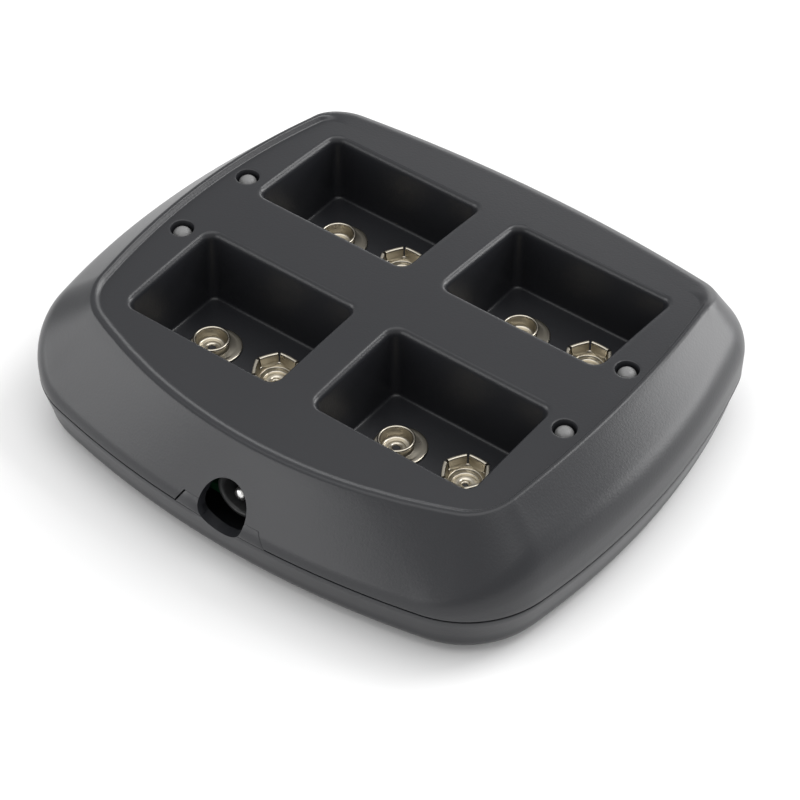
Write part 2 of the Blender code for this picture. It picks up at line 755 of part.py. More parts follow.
def cover_hollow(outline):
    def section(station):
        inset = blended(SEAM_INSET, station.out) + WALL
        rounded_top = BASE_Z + BASE_ROUND
        return [
            (inset + BASE_INSET + BASE_ROUND / 3, 0, COVER_FLOOR_Z),
            (inset + BASE_INSET, 0, rounded_top),
            (inset, 0, SEAM_Z),
            (inset, 0, JACK_Z + REACH),
        ]

    hollow = add_object("cover_hollow", mesh_from(lambda s: loft(s, outline, section), "cover_hollow"), cutters)
    posts = add_object("cover_posts", mesh_from(cover_posts, "cover_posts"), cutters)
    combine(hollow, posts, "DIFFERENCE")
    return hollow


def cover_posts(shape):
    for place in boss_places():
        add_rod(shape, place, COVER_POST_RADIUS, BASE_Z, SEAM_Z - GAP)


def cover_holes(shape):
    for place in boss_places():
        add_stepped_hole(shape, place, BASE_Z + SCREW_SINK)
    for place in foot_places():
        add_rod(shape, place, FOOT_RADIUS + GAP, BASE_Z - REACH, BASE_Z + FOOT_POCKET, BORE_STEPS)
    add_rod_along_y(shape, JACK_X, JACK_Z, JACK_HOLE_RADIUS, -FAR, JACK_BODY_FRONT_Y, BORE_STEPS)


def add_stepped_hole(shape, place, seat):
    """A wide bore for a screw's head and a narrow one for its shank, as one closed shape."""
    wide, narrow = SCREW_HEAD_RADIUS + GAP, SCREW_RADIUS + GAP
    heights = ((wide, BASE_Z - REACH), (wide, seat), (narrow, seat), (narrow, SEAM_Z + REACH))
    rings = []
    for i in range(ROUND_STEPS):
        angle = 2 * math.pi * i / ROUND_STEPS
        out = Vector((math.cos(angle), math.sin(angle)))
        rings.append([shape.verts.new((place[0] + radius * out.x, place[1] + radius * out.y, z))
                      for radius, z in heights])
    join_rings(shape, rings)
    shape.faces.new([column[0] for column in reversed(rings)])
    shape.faces.new([column[-1] for column in rings])


def stud_profile():
    """Section of a stud: rolled rim, waisted wall, base flange, then up inside to the closed ring."""
    top = STUD_HEIGHT
    sheet = CONTACT_SHEET
    waist = STUD_RADIUS - 0.3 * MM
    hole = RIVET_RADIUS + GAP
    return [
        (STUD_RADIUS - 0.3 * MM, top),
        (STUD_RADIUS, top - 0.25 * MM),
        (STUD_RADIUS - 0.05 * MM, top - 0.6 * MM),
        (waist, top - 0.95 * MM),
        (waist, sheet),
        (STUD_FLANGE_RADIUS, sheet),
        (STUD_FLANGE_RADIUS, 0),
        (hole, 0),
        (hole, sheet),
        (waist - sheet, sheet),
        (waist - sheet, top - 0.5 * MM),
        (STUD_RADIUS - 0.45 * MM, top - 0.1 * MM),
    ]


def socket_cup_profile():
    """Section of the round, stepped cup at the foot of a snap socket."""
    sheet = CONTACT_SHEET
    hole = RIVET_RADIUS + GAP
    lip = SOCKET_RADIUS - 1.0 * MM
    return [
        (lip + 0.3 * MM, 1.3 * MM),
        (lip + 0.3 * MM, 0.9 * MM),
        (lip - 0.1 * MM, 0.8 * MM),
        (lip - 0.1 * MM, 0.4 * MM),
        (lip - 0.4 * MM, 0),
        (hole, 0),
        (hole, sheet),
        (lip - 0.75 * MM, sheet),
        (lip - 0.5 * MM, 0.8 * MM),
        (lip - 0.5 * MM, 1.1 * MM),
        (lip - 0.2 * MM, 1.2 * MM),
        (lip - 0.1 * MM, 1.3 * MM),
    ]


def petal_profile():
    """Section of the petals, spun in six steps so that each petal is flat."""
    top = SOCKET_HEIGHT
    sheet = 0.35 * MM
    lip = SOCKET_RADIUS - 1.0 * MM
    return [
        (SOCKET_RADIUS - 0.15 * MM, top),
        (SOCKET_RADIUS, top - 0.3 * MM),
        (SOCKET_RADIUS - 0.25 * MM, top - 0.7 * MM),
        (lip + 0.55 * MM, 1.0 * MM),
        (lip + 0.3 * MM, 0.7 * MM),
        (lip - 0.1 * MM, 0.95 * MM),
        (lip + 0.15 * MM, 1.2 * MM),
        (SOCKET_RADIUS - 0.25 * MM - sheet, top - 0.7 * MM),
        (SOCKET_RADIUS - 0.5 * MM, top - 0.2 * MM),
        (SOCKET_RADIUS - 0.35 * MM, top),
    ]


def make_contacts():
    """Studs, snap sockets and their hollow rivets."""
    stud = turned("stud_master", stud_profile(), ROUND_STEPS, cutters, closed=True)
    stud_mesh = fixed_mesh(stud)
    socket_mesh = socket_solid()
    rivet_mesh = fixed_mesh(turned("rivet_master", rivet_profile(), SMALL_STEPS, cutters, closed=True))
    base_z = PAD_Z + GAP
    for number, kind, (x, y) in contact_places():
        mesh = stud_mesh if kind == "stud" else socket_mesh
        made = add_object(f"{kind}_contact_{number}", mesh.copy(), parts, nickel, (x, y, base_z))
        finish_smooth(made)
        rivet = add_object(f"{kind}_rivet_{number}", rivet_mesh.copy(), parts, nickel, (x, y, base_z))
        finish_smooth(rivet)


def socket_solid():
    cup = turned("socket_cup", socket_cup_profile(), ROUND_STEPS, cutters, closed=True)
    petals = turned("socket_petals", petal_profile(), 6, cutters, closed=True)

    for index in range(3):
        angle = index * math.pi / 3

        def slit(shape, angle=angle):
            made = bmesh.ops.create_cube(shape, size=1.0)["verts"]
            bmesh.ops.scale(shape, vec=(4 * SOCKET_RADIUS, PETAL_SLIT, SOCKET_HEIGHT), verts=made)
            bmesh.ops.translate(shape, vec=(0, 0, SOCKET_HEIGHT), verts=made)
            turn = Vector((1, 0, 0)).rotation_difference(
                Vector((math.cos(angle), math.sin(angle), 0))
            ).to_matrix()
            bmesh.ops.rotate(shape, cent=(0, 0, 0), matrix=turn, verts=made)

        cut = add_object(f"petal_slit_{index}", mesh_from(slit, "petal_slit"), cutters)
        combine(petals, cut, "DIFFERENCE")
    combine(cup, petals, "UNION")
    return fixed_mesh(cup)


def rivet_profile():
    """Section of a hollow rivet, from its head in the contact to its flare under the board."""
    seat = CONTACT_SHEET + GAP
    head = seat + RIVET_SHEET
    flare = BOARD_UNDER_Z - GAP - (PAD_Z + GAP)
    return [
        (RIVET_HEAD - 0.15 * MM, head),
        (RIVET_HEAD, seat),
        (RIVET_RADIUS, seat),
        (RIVET_RADIUS, flare),
        (RIVET_HEAD, flare),
        (RIVET_HEAD, flare - RIVET_SHEET),
        (RIVET_BORE, flare - RIVET_SHEET),
        (RIVET_BORE, head),
    ]


def make_board():
    """The circuit board: wide between the corners, and notched there for the case's bosses."""

    def build(shape):
        corner_x, corner_y = HALF_LENGTH - BOARD_END_INSET, POCKET_MIDDLE_Y + LAMP_Y + BOARD_EAR_MARGIN
        front = JACK_BODY_FRONT_Y + 2 * GAP
        back = POCKET_MIDDLE_Y + POCKETS_HALF_Y + WELL_WALL + BOARD_BACK_MARGIN
        waist, cut = SCREW_X - COVER_POST_RADIUS - GAP, BOARD_CORNER
        half = [(waist - cut, front), (waist, front + cut), (waist, -corner_y), (corner_x, -corner_y),
                (corner_x, corner_y), (waist, corner_y), (waist, back - cut), (waist - cut, back)]
        outline = half + [(-x, y) for x, y in reversed(half)]
        face = shape.faces.new([shape.verts.new((x, y, BOARD_UNDER_Z)) for x, y in outline])
        lifted = bmesh.ops.extrude_face_region(shape, geom=[face])["geom"]
        moved = [found for found in lifted if isinstance(found, bmesh.types.BMVert)]
        bmesh.ops.translate(shape, vec=(0, 0, BOARD_THICKNESS), verts=moved)

    board = add_object("circuit_board", mesh_from(build, "circuit_board"), parts, board_laminate)

    def drill(shape):
        low, high = BOARD_UNDER_Z - REACH, BOARD_TOP_Z + REACH
        for _, _, place in contact_places():
            add_rod(shape, place, RIVET_RADIUS + GAP, low, high, SMALL_STEPS)
        for place in post_places():
            add_rod(shape, place, SCREW_RADIUS + GAP, low, high, SMALL_STEPS)
        for place in lamp_places():
            for side in (-1, 1):
                add_rod(shape, (place[0], place[1] + side * LEAD_PITCH / 2), LEAD_SIDE / 2 + GAP, low, high,
                        SMALL_STEPS)

    combine(board, add_object("board_holes", mesh_from(drill, "board_holes"), cutters), "DIFFERENCE")


def make_lamps():
    """Round lamps whose domes sit just under the panel, on leads that reach through the board."""
    for number, (x, y) in enumerate(lamp_places(), 1):
        tip = crown_z(y) - LAMP_SINK
        profile = [(0, tip)]
        for i in range(1, ARC_STEPS + 1):
            angle = math.pi / 2 * i / ARC_STEPS
            profile.append((LAMP_RADIUS * math.sin(angle), tip - LAMP_RADIUS * (1 - math.cos(angle))))
        flange_top = tip - LAMP_LENGTH + MM
        profile += [(LAMP_RADIUS, flange_top), (LAMP_FLANGE, flange_top), (LAMP_FLANGE, flange_top - MM)]
        profile.append((0, flange_top - MM))
        body = turned(f"status_lamp_{number}", profile, ROUND_STEPS, parts, lamp_lens, (x, y, 0))

        def leads(shape, x=x, y=y, foot=flange_top - MM):
            for side in (-1, 1):
                middle = y + side * LEAD_PITCH / 2
                half = LEAD_SIDE / 2
                add_box(shape, (x - half, middle - half, BOARD_UNDER_Z - LEAD_TAIL),
                        (x + half, middle + half, foot + LEAD_SIDE))

        combine(body, add_object(f"lamp_leads_{number}", mesh_from(leads, "lamp_leads"), cutters), "UNION")


def make_jack():
    """The power socket: a moulded block with a round nose, its centre pin and its leaf contact."""

    def block(shape):
        half = JACK_WIDTH / 2
        low = (JACK_X - half, JACK_BODY_FRONT_Y, BOARD_TOP_Z + GAP)
        high = (JACK_X + half, JACK_BODY_BACK_Y, JACK_Z + JACK_NOSE_RADIUS)
        add_box(shape, low, high)

    body = add_object("power_socket", mesh_from(block, "power_socket"), parts, jack_plastic)

    def nose(shape):
        add_rod_along_y(shape, JACK_X, JACK_Z, JACK_NOSE_RADIUS, JACK_FACE_Y, JACK_BODY_FRONT_Y + GAP, BORE_STEPS)

    def bore(shape):
        add_rod_along_y(shape, JACK_X, JACK_Z, JACK_BORE_RADIUS, JACK_FACE_Y - REACH,
                        JACK_FACE_Y + JACK_BORE_DEPTH, BORE_STEPS)

    def pin_hole(shape):
        add_rod_along_y(shape, JACK_X, JACK_Z, JACK_PIN_RADIUS + GAP, JACK_FACE_Y,
                        JACK_BODY_BACK_Y + REACH, ROUND_STEPS)

    combine(body, add_object("socket_nose", mesh_from(nose, "socket_nose"), cutters), "UNION")
    combine(body, add_object("socket_bore", mesh_from(bore, "socket_bore"), cutters), "DIFFERENCE")
    combine(body, add_object("socket_pin_hole", mesh_from(pin_hole, "socket_pin_hole"), cutters), "DIFFERENCE")
    finish_smooth(body)

    length, radius = JACK_BODY_BACK_Y - JACK_FACE_Y, JACK_PIN_RADIUS
    profile = [(0, length), (radius * 0.67, length - radius * 0.1), (radius, length - radius / 2), (radius, 0), (0, 0)]
    place = (JACK_X, JACK_BODY_BACK_Y, JACK_Z)
    pin = turned("socket_centre_pin", profile, ROUND_STEPS, parts, tin, place)
    pin.rotation_euler = (math.pi / 2, 0, 0)

    def leaf(shape):
        half = LEAF_WIDTH / 2
        low_z = JACK_Z - math.sqrt(JACK_BORE_RADIUS**2 - half**2) + GAP
        add_box(shape, (JACK_X - half, JACK_FACE_Y + LEAF_START, low_z),
                (JACK_X + half, JACK_FACE_Y + JACK_BORE_DEPTH - GAP, low_z + LEAF_SHEET))

    spring = add_object("socket_leaf_contact", mesh_from(leaf, "socket_leaf_contact"), parts, tin)
    round_edges(spring, LEAF_SHEET / 4)


def round_edges(made, width):
    bevel = made.modifiers.new("rounded_edges", "BEVEL")
    bevel.width = width
    bevel.segments = 1
    bevel.limit_method = "ANGLE"


def make_board_parts():
    """Capacitors and a regulator between the pocket rows, and the controls under the board."""
    seat = BOARD_TOP_Z + GAP
    for number, x in enumerate((-CAPACITOR_PITCH / 2, CAPACITOR_PITCH / 2), 1):
        radius, height = CAPACITOR_RADIUS, CAPACITOR_HEIGHT
        profile = [(0, height - 0.2 * MM), (radius - 0.7 * MM, height - 0.2 * MM),
                   (radius - 0.6 * MM, height), (radius - 0.2 * MM, height), (radius, height - 0.3 * MM),
                   (radius, 1.2 * MM), (radius - 0.25 * MM, 0.95 * MM), (radius, 0.7 * MM), (radius, 0), (0, 0)]
        turned(f"capacitor_{number}", profile, 12, parts, capacitor_sleeve, (x, POCKET_MIDDLE_Y, seat))

    def block_at(x, y, size, bottom):
        def build(shape):
            half_x, half_y = size[0] / 2, size[1] / 2
            add_box(shape, (x - half_x, y - half_y, bottom), (x + half_x, y + half_y, bottom + size[2]))

        return build

    regulator = add_object(
        "voltage_regulator",
        mesh_from(block_at(REGULATOR_X, POCKET_MIDDLE_Y, REGULATOR_SIZE, seat), "voltage_regulator"),
        parts, package_epoxy,
    )
    round_edges(regulator, PACKAGE_EDGE)

    chip_bottom = BOARD_UNDER_Z - GAP - CHIP_SIZE[2]
    chip = add_object(
        "control_chip", mesh_from(block_at(0, POCKET_MIDDLE_Y, CHIP_SIZE, chip_bottom), "control_chip"),
        parts, package_epoxy,
    )
    round_edges(chip, PACKAGE_EDGE)

    transistor_bottom = BOARD_UNDER_Z - GAP - TRANSISTOR_SIZE[2]
    for number, (x, y) in enumerate(corners_of(TRANSISTOR_X, TRANSISTOR_Y, POCKET_MIDDLE_Y), 1):
        name = f"charge_transistor_{number}"
        block = mesh_from(block_at(x, y, TRANSISTOR_SIZE, transistor_bottom), name)
        round_edges(add_object(name, block, parts, package_epoxy), PACKAGE_EDGE)


def screw_profile(length):
    """Section of a pan-head screw, its head down: from the tip of the shank to the head's face."""
    head, radius = SCREW_HEAD_RADIUS, SCREW_RADIUS
    return [
        (0, length),
        (radius * 0.5, length - 0.3 * MM),
        (radius, length - 1.2 * MM),
        (radius, 0),
        (head, 0),
        (head, -SCREW_HEAD_HEIGHT * 0.6),
        (head * 0.8, -SCREW_HEAD_HEIGHT),
        (0, -SCREW_HEAD_HEIGHT),
    ]


def make_screw(name, place, head_z, length):
    screw = turned(name, screw_profile(length), 12, parts, screw_steel, (*place, head_z))

    def cross(shape):
        half, depth = SCREW_SLOT / 2, SCREW_HEAD_HEIGHT * 0.5
        reach = SCREW_HEAD_RADIUS * 0.55
        face = head_z - SCREW_HEAD_HEIGHT
        corners = []
        for i in range(4):
            turn = i * math.pi / 2
            for along, across in ((reach, -half), (reach, half), (half, half)):
                corners.append((along * math.cos(turn) - across * math.sin(turn),
                                along * math.sin(turn) + across * math.cos(turn)))
        face_points = [shape.verts.new((place[0] + x, place[1] + y, face - REACH)) for x, y in corners]
        lower = shape.faces.new(face_points)
        lifted = bmesh.ops.extrude_face_region(shape, geom=[lower])["geom"]
        moved = [found for found in lifted if isinstance(found, bmesh.types.BMVert)]
        bmesh.ops.translate(shape, vec=(0, 0, REACH + depth), verts=moved)

    combine(screw, add_object(name + "_recess", mesh_from(cross, "screw_recess"), cutters), "DIFFERENCE")


def make_screws():
    for number, place in enumerate(boss_places(), 1):
        make_screw(f"case_screw_{number}", place, screw_head_z(), SCREW_LENGTH)
    for number, place in enumerate(post_places(), 1):
        make_screw(f"board_screw_{number}", place, board_screw_z(), BOARD_SCREW_LENGTH)


def make_feet():
    """Round feet, each let into a shallow pocket of the base."""
    height = FOOT_HEIGHT + FOOT_POCKET - GAP
    profile = [(0, height), (FOOT_RADIUS, height), (FOOT_RADIUS, FOOT_CHAMFER),
               (FOOT_RADIUS - FOOT_CHAMFER, 0), (0, 0)]
    for number, place in enumerate(foot_places(), 1):
        turned(f"rubber_foot_{number}", profile, BORE_STEPS, parts, foot_rubber, (*place, 0))


make_case()
make_wells()
make_contacts()
make_board()
make_lamps()
make_jack()
make_board_parts()
make_screws()
make_feet()
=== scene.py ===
import json
from math import asin, atan2, cos, pi, radians, sin, sqrt, tan

import bmesh
import bpy
from mathutils import Matrix, Vector
from mathutils.geometry import delaunay_2d_cdt


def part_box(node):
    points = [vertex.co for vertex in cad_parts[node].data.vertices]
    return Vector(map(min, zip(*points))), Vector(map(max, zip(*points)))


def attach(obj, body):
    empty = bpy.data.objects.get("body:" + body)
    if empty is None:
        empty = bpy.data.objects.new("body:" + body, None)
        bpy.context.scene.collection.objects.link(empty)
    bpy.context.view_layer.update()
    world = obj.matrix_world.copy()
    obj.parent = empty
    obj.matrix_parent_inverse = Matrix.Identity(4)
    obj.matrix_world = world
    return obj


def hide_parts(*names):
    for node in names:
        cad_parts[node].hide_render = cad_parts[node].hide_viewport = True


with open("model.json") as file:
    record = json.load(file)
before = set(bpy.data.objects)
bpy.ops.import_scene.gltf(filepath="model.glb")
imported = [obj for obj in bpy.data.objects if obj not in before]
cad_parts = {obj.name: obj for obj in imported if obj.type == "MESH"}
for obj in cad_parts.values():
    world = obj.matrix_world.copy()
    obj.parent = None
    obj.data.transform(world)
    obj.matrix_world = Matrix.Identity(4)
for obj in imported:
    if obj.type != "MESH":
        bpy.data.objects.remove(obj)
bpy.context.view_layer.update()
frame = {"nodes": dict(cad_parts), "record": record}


# Places that everything else is measured from, in millimetres

perMetre = 1000.0


def inMm(corner):
    return Vector(corner) * perMetre


def middleOf(low, high):
    return ((inMm(low) + inMm(high)) / 2).to_2d()


def four(stem):
    return [f"{stem}_{i}" for i in range(1, 5)]


def centresOf(stem):
    return [middleOf(*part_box(name)) for name in four(stem)]


def placed(name, data):
    thing = bpy.data.objects.new(name, data)
    bpy.context.scene.collection.objects.link(thing)
    return thing


def direction(bearing, rise):  # a unit vector from two angles in degrees
    bearing, rise = radians(bearing), radians(rise)
    return Vector((cos(bearing) * cos(rise), sin(bearing) * cos(rise), sin(rise)))


openings = frame["record"]["physics"]["openings"]
pocketCentres = [middleOf(*o["box_m"]) for o in openings if o["name"].startswith("battery_pocket")]
middleY = sum(c.y for c in pocketCentres) / len(pocketCentres)
baseZ = inMm(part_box("bottom_cover")[0]).z
caseEnd = inMm(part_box("top_housing")[1]).x
print("pockets are centred on y", round(middleY, 3), "mm, and the base is at z", round(baseZ, 3), "mm")


# Camera at the photograph's view

cameraSettings = {
    "lens": 138.589,
    "sensor": 36.0,
    "clip": (0.02, 20),  # metres
    "yaw": 127.89,
    "elevation": 43.60,
    "roll": -0.13,
    "distance": 442.63,
    "aim": (13.842, middleY - 17.638, baseZ + 21.2),
}


def makeCamera(s):
    yaw, roll = radians(s["yaw"]), radians(s["roll"])
    forward = direction(s["yaw"], -s["elevation"])
    right = Vector((sin(yaw), -cos(yaw), 0))
    up = right.cross(forward)
    right, up = (right * cos(roll) + up * sin(roll), up * cos(roll) - right * sin(roll))
    data = bpy.data.cameras.new("viewCamera")
    data.lens, data.sensor_width = s["lens"], s["sensor"]
    data.clip_start, data.clip_end = s["clip"]
    camera = placed("viewCamera", data)
    place = (Vector(s["aim"]) - forward * s["distance"]) / perMetre
    camera.matrix_world = Matrix.Translation(place) @ Matrix((right, up, -forward)).transposed().to_4x4()
    bpy.context.scene.camera = camera


makeCamera(cameraSettings)
print("camera placed")


# Floor, world and lamps, in metres

stageSettings = {
    "floorSize": 6.0,
    "floorFinish": {"Base Color": (0.88, 0.88, 0.88, 1), "Roughness": 0.9, "Specular IOR Level": 0.1},
    "world": {"Color": (1, 1, 1, 1), "Strength": 0.62},
}
lampDistance = 1.2
lampSettings = [
    {"name": "lowRightLamp", "bearing": 58, "rise": 12, "size": (0.9, 0.45), "watts": 8.5},
    {"name": "highRightLamp", "bearing": 62, "rise": 48, "size": (0.5, 0.5), "watts": 5.0},
    {"name": "backLamp", "bearing": 106, "rise": 10, "size": (0.8, 0.35), "watts": 1.8},
    {"name": "leftLamp", "bearing": 212, "rise": 13, "size": (0.9, 0.5), "watts": 4.2},
    {"name": "frontLamp", "bearing": 252, "rise": 14, "size": (0.5, 0.5), "watts": 2.0},
    {"name": "topLamp", "bearing": 300, "rise": 86, "size": (1.2, 1.2), "watts": 6.5},
]


def makeFloor(s):  # it keeps the shadow
    half = s["floorSize"] / 2
    mesh = bpy.data.meshes.new("floor")
    mesh.from_pydata([(-half, -half, 0), (half, -half, 0), (half, half, 0), (-half, half, 0)], [], [(0, 1, 2, 3)])
    floor = placed("floor", mesh)
    material = bpy.data.materials.new("paleFloor")
    material.use_nodes = True
    shader = material.node_tree.nodes["Principled BSDF"]
    for key, value in s["floorFinish"].items():
        shader.inputs[key].default_value = value
    mesh.materials.append(material)


def makeWorld(s):  # one even level from all round
    world = bpy.data.worlds.new("studioWorld")
    bpy.context.scene.world = world
    world.use_nodes = True
    for key, value in s["world"].items():
        world.node_tree.nodes["Background"].inputs[key].default_value = value


def makeLamp(s):
    place = direction(s["bearing"], s["rise"]) * lampDistance
    data = bpy.data.lights.new(s["name"], "AREA")
    data.shape = "RECTANGLE"
    data.size, data.size_y = s["size"]
    data.energy = s["watts"]
    turn = (-place).to_track_quat("-Z", "Y").to_matrix().to_4x4()
    placed(s["name"], data).matrix_world = Matrix.Translation(place) @ turn


makeFloor(stageSettings)
makeWorld(stageSettings)
for settings in lampSettings:
    makeLamp(settings)
bpy.context.scene.view_settings.view_transform = "Standard"
print("stage ready")


# Shader groups that several finishes share


def addNode(tree, kind, links=None, **values):  # links feed the inputs, values are set on the node itself
    node = tree.nodes.new(kind)
    for key, value in values.items():
        setattr(node, key, value)
    feed(tree, node, links or {})
    return node


def feed(tree, node, links):  # each source is an output socket or a constant
    for key, source in links.items():
        if hasattr(source, "is_linked"):
            tree.links.new(source, node.inputs[key])
        else:
            node.inputs[key].default_value = source


def worked(tree, operation, first, second):
    return addNode(tree, "ShaderNodeMath", {0: first, 1: second}, operation=operation).outputs[0]


def newGroup(name, inputs, outputs):
    group = bpy.data.node_groups.new(name, "ShaderNodeTree")
    group.interface.new_socket("Vector", in_out="INPUT", socket_type="NodeSocketVector")
    for label, value in inputs.items():
        socket = group.interface.new_socket(label, in_out="INPUT", socket_type="NodeSocketFloat")
        socket.default_value = value
    for label in outputs:
        group.interface.new_socket(label, in_out="OUTPUT", socket_type="NodeSocketFloat")
    return group, group.nodes.new("NodeGroupInput").outputs, group.nodes.new("NodeGroupOutput").inputs


def makeGrainGroup():  # fine moulded texture as a height, and a slow drift for tone and gloss
    group, given, out = newGroup("mouldedGrain", {"Grain per metre": 2500.0, "Drift per metre": 60.0},
                                 ["Height", "Drift"])
    fine = addNode(group, "ShaderNodeTexNoise", {
        "Vector": given["Vector"], "Scale": given["Grain per metre"], "Detail": 2.0})
    cells = addNode(group, "ShaderNodeTexVoronoi", {
        "Vector": given["Vector"], "Scale": given["Grain per metre"]})
    drift = addNode(group, "ShaderNodeTexNoise", {
        "Vector": given["Vector"], "Scale": given["Drift per metre"], "Detail": 4.0})
    group.links.new(worked(group, "ADD", fine.outputs["Fac"], cells.outputs["Distance"]), out["Height"])
    group.links.new(drift.outputs["Fac"], out["Drift"])
    return group


def makeSpeckGroup():  # sparse small specks and short scuffs, as a mask
    group, given, out = newGroup("specksAndScuffs", {"Specks per metre": 220.0, "Amount": 0.06}, ["Mask"])
    cells = addNode(group, "ShaderNodeTexVoronoi", {
        "Vector": given["Vector"], "Scale": given["Specks per metre"]})
    spread = addNode(group, "ShaderNodeTexNoise", {"Vector": given["Vector"], "Scale": 90.0, "Detail": 2.0})
    reach = worked(group, "MULTIPLY", given["Amount"], spread.outputs["Fac"])
    inside = worked(group, "SUBTRACT", reach, cells.outputs["Distance"])
    soft = addNode(group, "ShaderNodeMapRange", {"Value": inside, "From Min": 0.0, "From Max": 0.02})
    group.links.new(soft.outputs["Result"], out["Mask"])
    return group


grainGroup = makeGrainGroup()
speckGroup = makeSpeckGroup()


# Finishes


def grey(level):
    return (level, level, level, 1)


plasticBase = dict(grain=2600.0, drift=45.0, specks=260.0, speckAmount=0.05, speckShare=0.25,
                   speckColor=grey(0.10), rough=0.34, roughSpread=0.03, bump=0.08, bumpDepth=0.0001,
                   plain={"Metallic": 0.0, "IOR": 1.48})
metalBase = dict(grain=1400.0, drift=420.0, rough=0.29, roughSpread=0.05, bump=0.006, bumpDepth=0.00005,
                 plain={"Metallic": 1.0})
finishForms = {
    "case_plastic": dict(plasticBase, color=(0.0150, 0.0157, 0.0186, 1), secondColor=(0.0178, 0.0185, 0.0212, 1)),
    "foot_rubber": dict(plasticBase, color=grey(0.018), secondColor=grey(0.024), rough=0.8, speckAmount=0.1),
    "board_laminate": dict(plasticBase, color=(0.015, 0.13, 0.05, 1), secondColor=(0.03, 0.17, 0.07, 1)),
    "jack_plastic": dict(plasticBase, color=(0.030, 0.031, 0.032, 1), secondColor=(0.036, 0.037, 0.037, 1),
                         rough=0.38, speckAmount=0.0),
    "lamp_lens": dict(plasticBase, color=grey(0.15), secondColor=grey(0.21), rough=0.45, grain=1400.0,
                      bump=0.5, bumpDepth=0.00012, speckAmount=0.12, speckColor=grey(0.55)),
    "package_epoxy": dict(plasticBase, color=grey(0.02), secondColor=grey(0.03), rough=0.55),
    "capacitor_sleeve": dict(plasticBase, color=(0.02, 0.03, 0.10, 1), secondColor=(0.03, 0.04, 0.12, 1),
                             rough=0.3),
    "nickel": dict(metalBase, color=(0.60, 0.56, 0.48, 1), secondColor=(0.47, 0.43, 0.35, 1)),
    "tin": dict(metalBase, color=(0.86, 0.86, 0.85, 1), secondColor=(0.76, 0.75, 0.73, 1)),
    "screw_steel": dict(metalBase, color=grey(0.50), secondColor=grey(0.42), rough=0.34),
}


def mixedColor(tree, factor, first, second):
    mix = addNode(tree, "ShaderNodeMix", {"Factor": factor, "A": first, "B": second}, data_type="RGBA")
    return mix.outputs["Result"]


def makeFinish(name, s):  # two near tones, fine grain and uneven gloss, with specks on what isn't metal
    material = bpy.data.materials.new(name)
    material.use_nodes = True
    tree = material.node_tree
    place = tree.nodes.new("ShaderNodeTexCoord").outputs["Object"]
    grain = addNode(tree, "ShaderNodeGroup", {
        "Vector": place, "Grain per metre": s["grain"], "Drift per metre": s["drift"]}, node_tree=grainGroup).outputs
    tone = mixedColor(tree, grain["Drift"], s["color"], s["secondColor"])
    if "specks" in s:
        specks = addNode(tree, "ShaderNodeGroup", {
            "Vector": place, "Specks per metre": s["specks"], "Amount": s["speckAmount"]}, node_tree=speckGroup)
        share = worked(tree, "MULTIPLY", specks.outputs["Mask"], s["speckShare"])
        tone = mixedColor(tree, share, tone, s["speckColor"])
    gloss = addNode(tree, "ShaderNodeMapRange", {
        "Value": grain["Drift"], "To Min": s["rough"] - s["roughSpread"], "To Max": s["rough"] + s["roughSpread"]})
    bump = addNode(tree, "ShaderNodeBump", {
        "Height": grain["Height"], "Strength": s["bump"], "Distance": s["bumpDepth"]})
    feed(tree, tree.nodes["Principled BSDF"], {
        "Base Color": tone, "Roughness": gloss.outputs["Result"], "Normal": bump.outputs["Normal"], **s["plain"]})
    return material


finish = {name: makeFinish(name, s) for name, s in finishForms.items()}
for node in frame["nodes"].values():
    for slot in node.material_slots:
        slot.material = finish[slot.material.name.split(".")[0]]
print("finishes made:", len(finish))


# Helpers for meshes written in millimetres

weldDistance = 0.0005
caseAngle, smallAngle = 32, 40  # edges that turn by more degrees stay sharp
gridShares = {"row": 0.87, "border": 0.6}  # of the spacing, between rows and clear of the borders


def vertAt(shape, place, z):
    return shape.verts.new((place.x, place.y, z))


def joinRings(shape, rings, closed=True):  # faces between neighbouring columns of points
    last = len(rings) if closed else len(rings) - 1
    for i in range(last):
        here, there = rings[i], rings[(i + 1) % len(rings)]
        for low in range(len(here) - 1):
            shape.faces.new((here[low], there[low], there[low + 1], here[low + 1]))


def capEnds(shape, rings):
    for end in (0, -1):
        shape.faces.new([column[end] for column in rings])


def finishMesh(shape, name):
    bmesh.ops.remove_doubles(shape, verts=shape.verts, dist=weldDistance)
    bmesh.ops.recalc_face_normals(shape, faces=shape.faces)
    bmesh.ops.scale(shape, vec=Vector((1, 1, 1)) / perMetre, verts=shape.verts)
    mesh = bpy.data.meshes.new(name)
    shape.to_mesh(mesh)
    shape.free()
    smoothed(mesh, smallAngle)
    return mesh


def smoothed(mesh, angle):
    mesh.shade_smooth()
    mesh.set_sharp_from_angle(angle=radians(angle))


def addPiece(name, mesh, slot, replaced):
    piece = placed(name, mesh)
    mesh.materials.clear()
    mesh.materials.append(finish[slot])
    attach(piece, "root")
    if replaced:
        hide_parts(*replaced)
    return piece


def plainMesh(thing, name):  # the object goes, and its mesh stays as its modifiers left it
    bpy.context.view_layer.update()
    graph = bpy.context.evaluated_depsgraph_get()
    mesh = bpy.data.meshes.new_from_object(thing.evaluated_get(graph))
    mesh.name = name
    bpy.data.objects.remove(thing, do_unlink=True)
    return mesh


def cutMesh(mesh, tools, operation="DIFFERENCE"):
    target = placed("cutTarget", mesh)
    helpers = []
    for number, tool in enumerate(tools):
        helpers.append(placed(f"cutTool{number}", tool))
        step = target.modifiers.new(f"cut{number}", "BOOLEAN")
        step.operation, step.solver, step.object = operation, "EXACT", helpers[-1]
    result = plainMesh(target, mesh.name)
    for helper in helpers:
        bpy.data.objects.remove(helper, do_unlink=True)
    return result


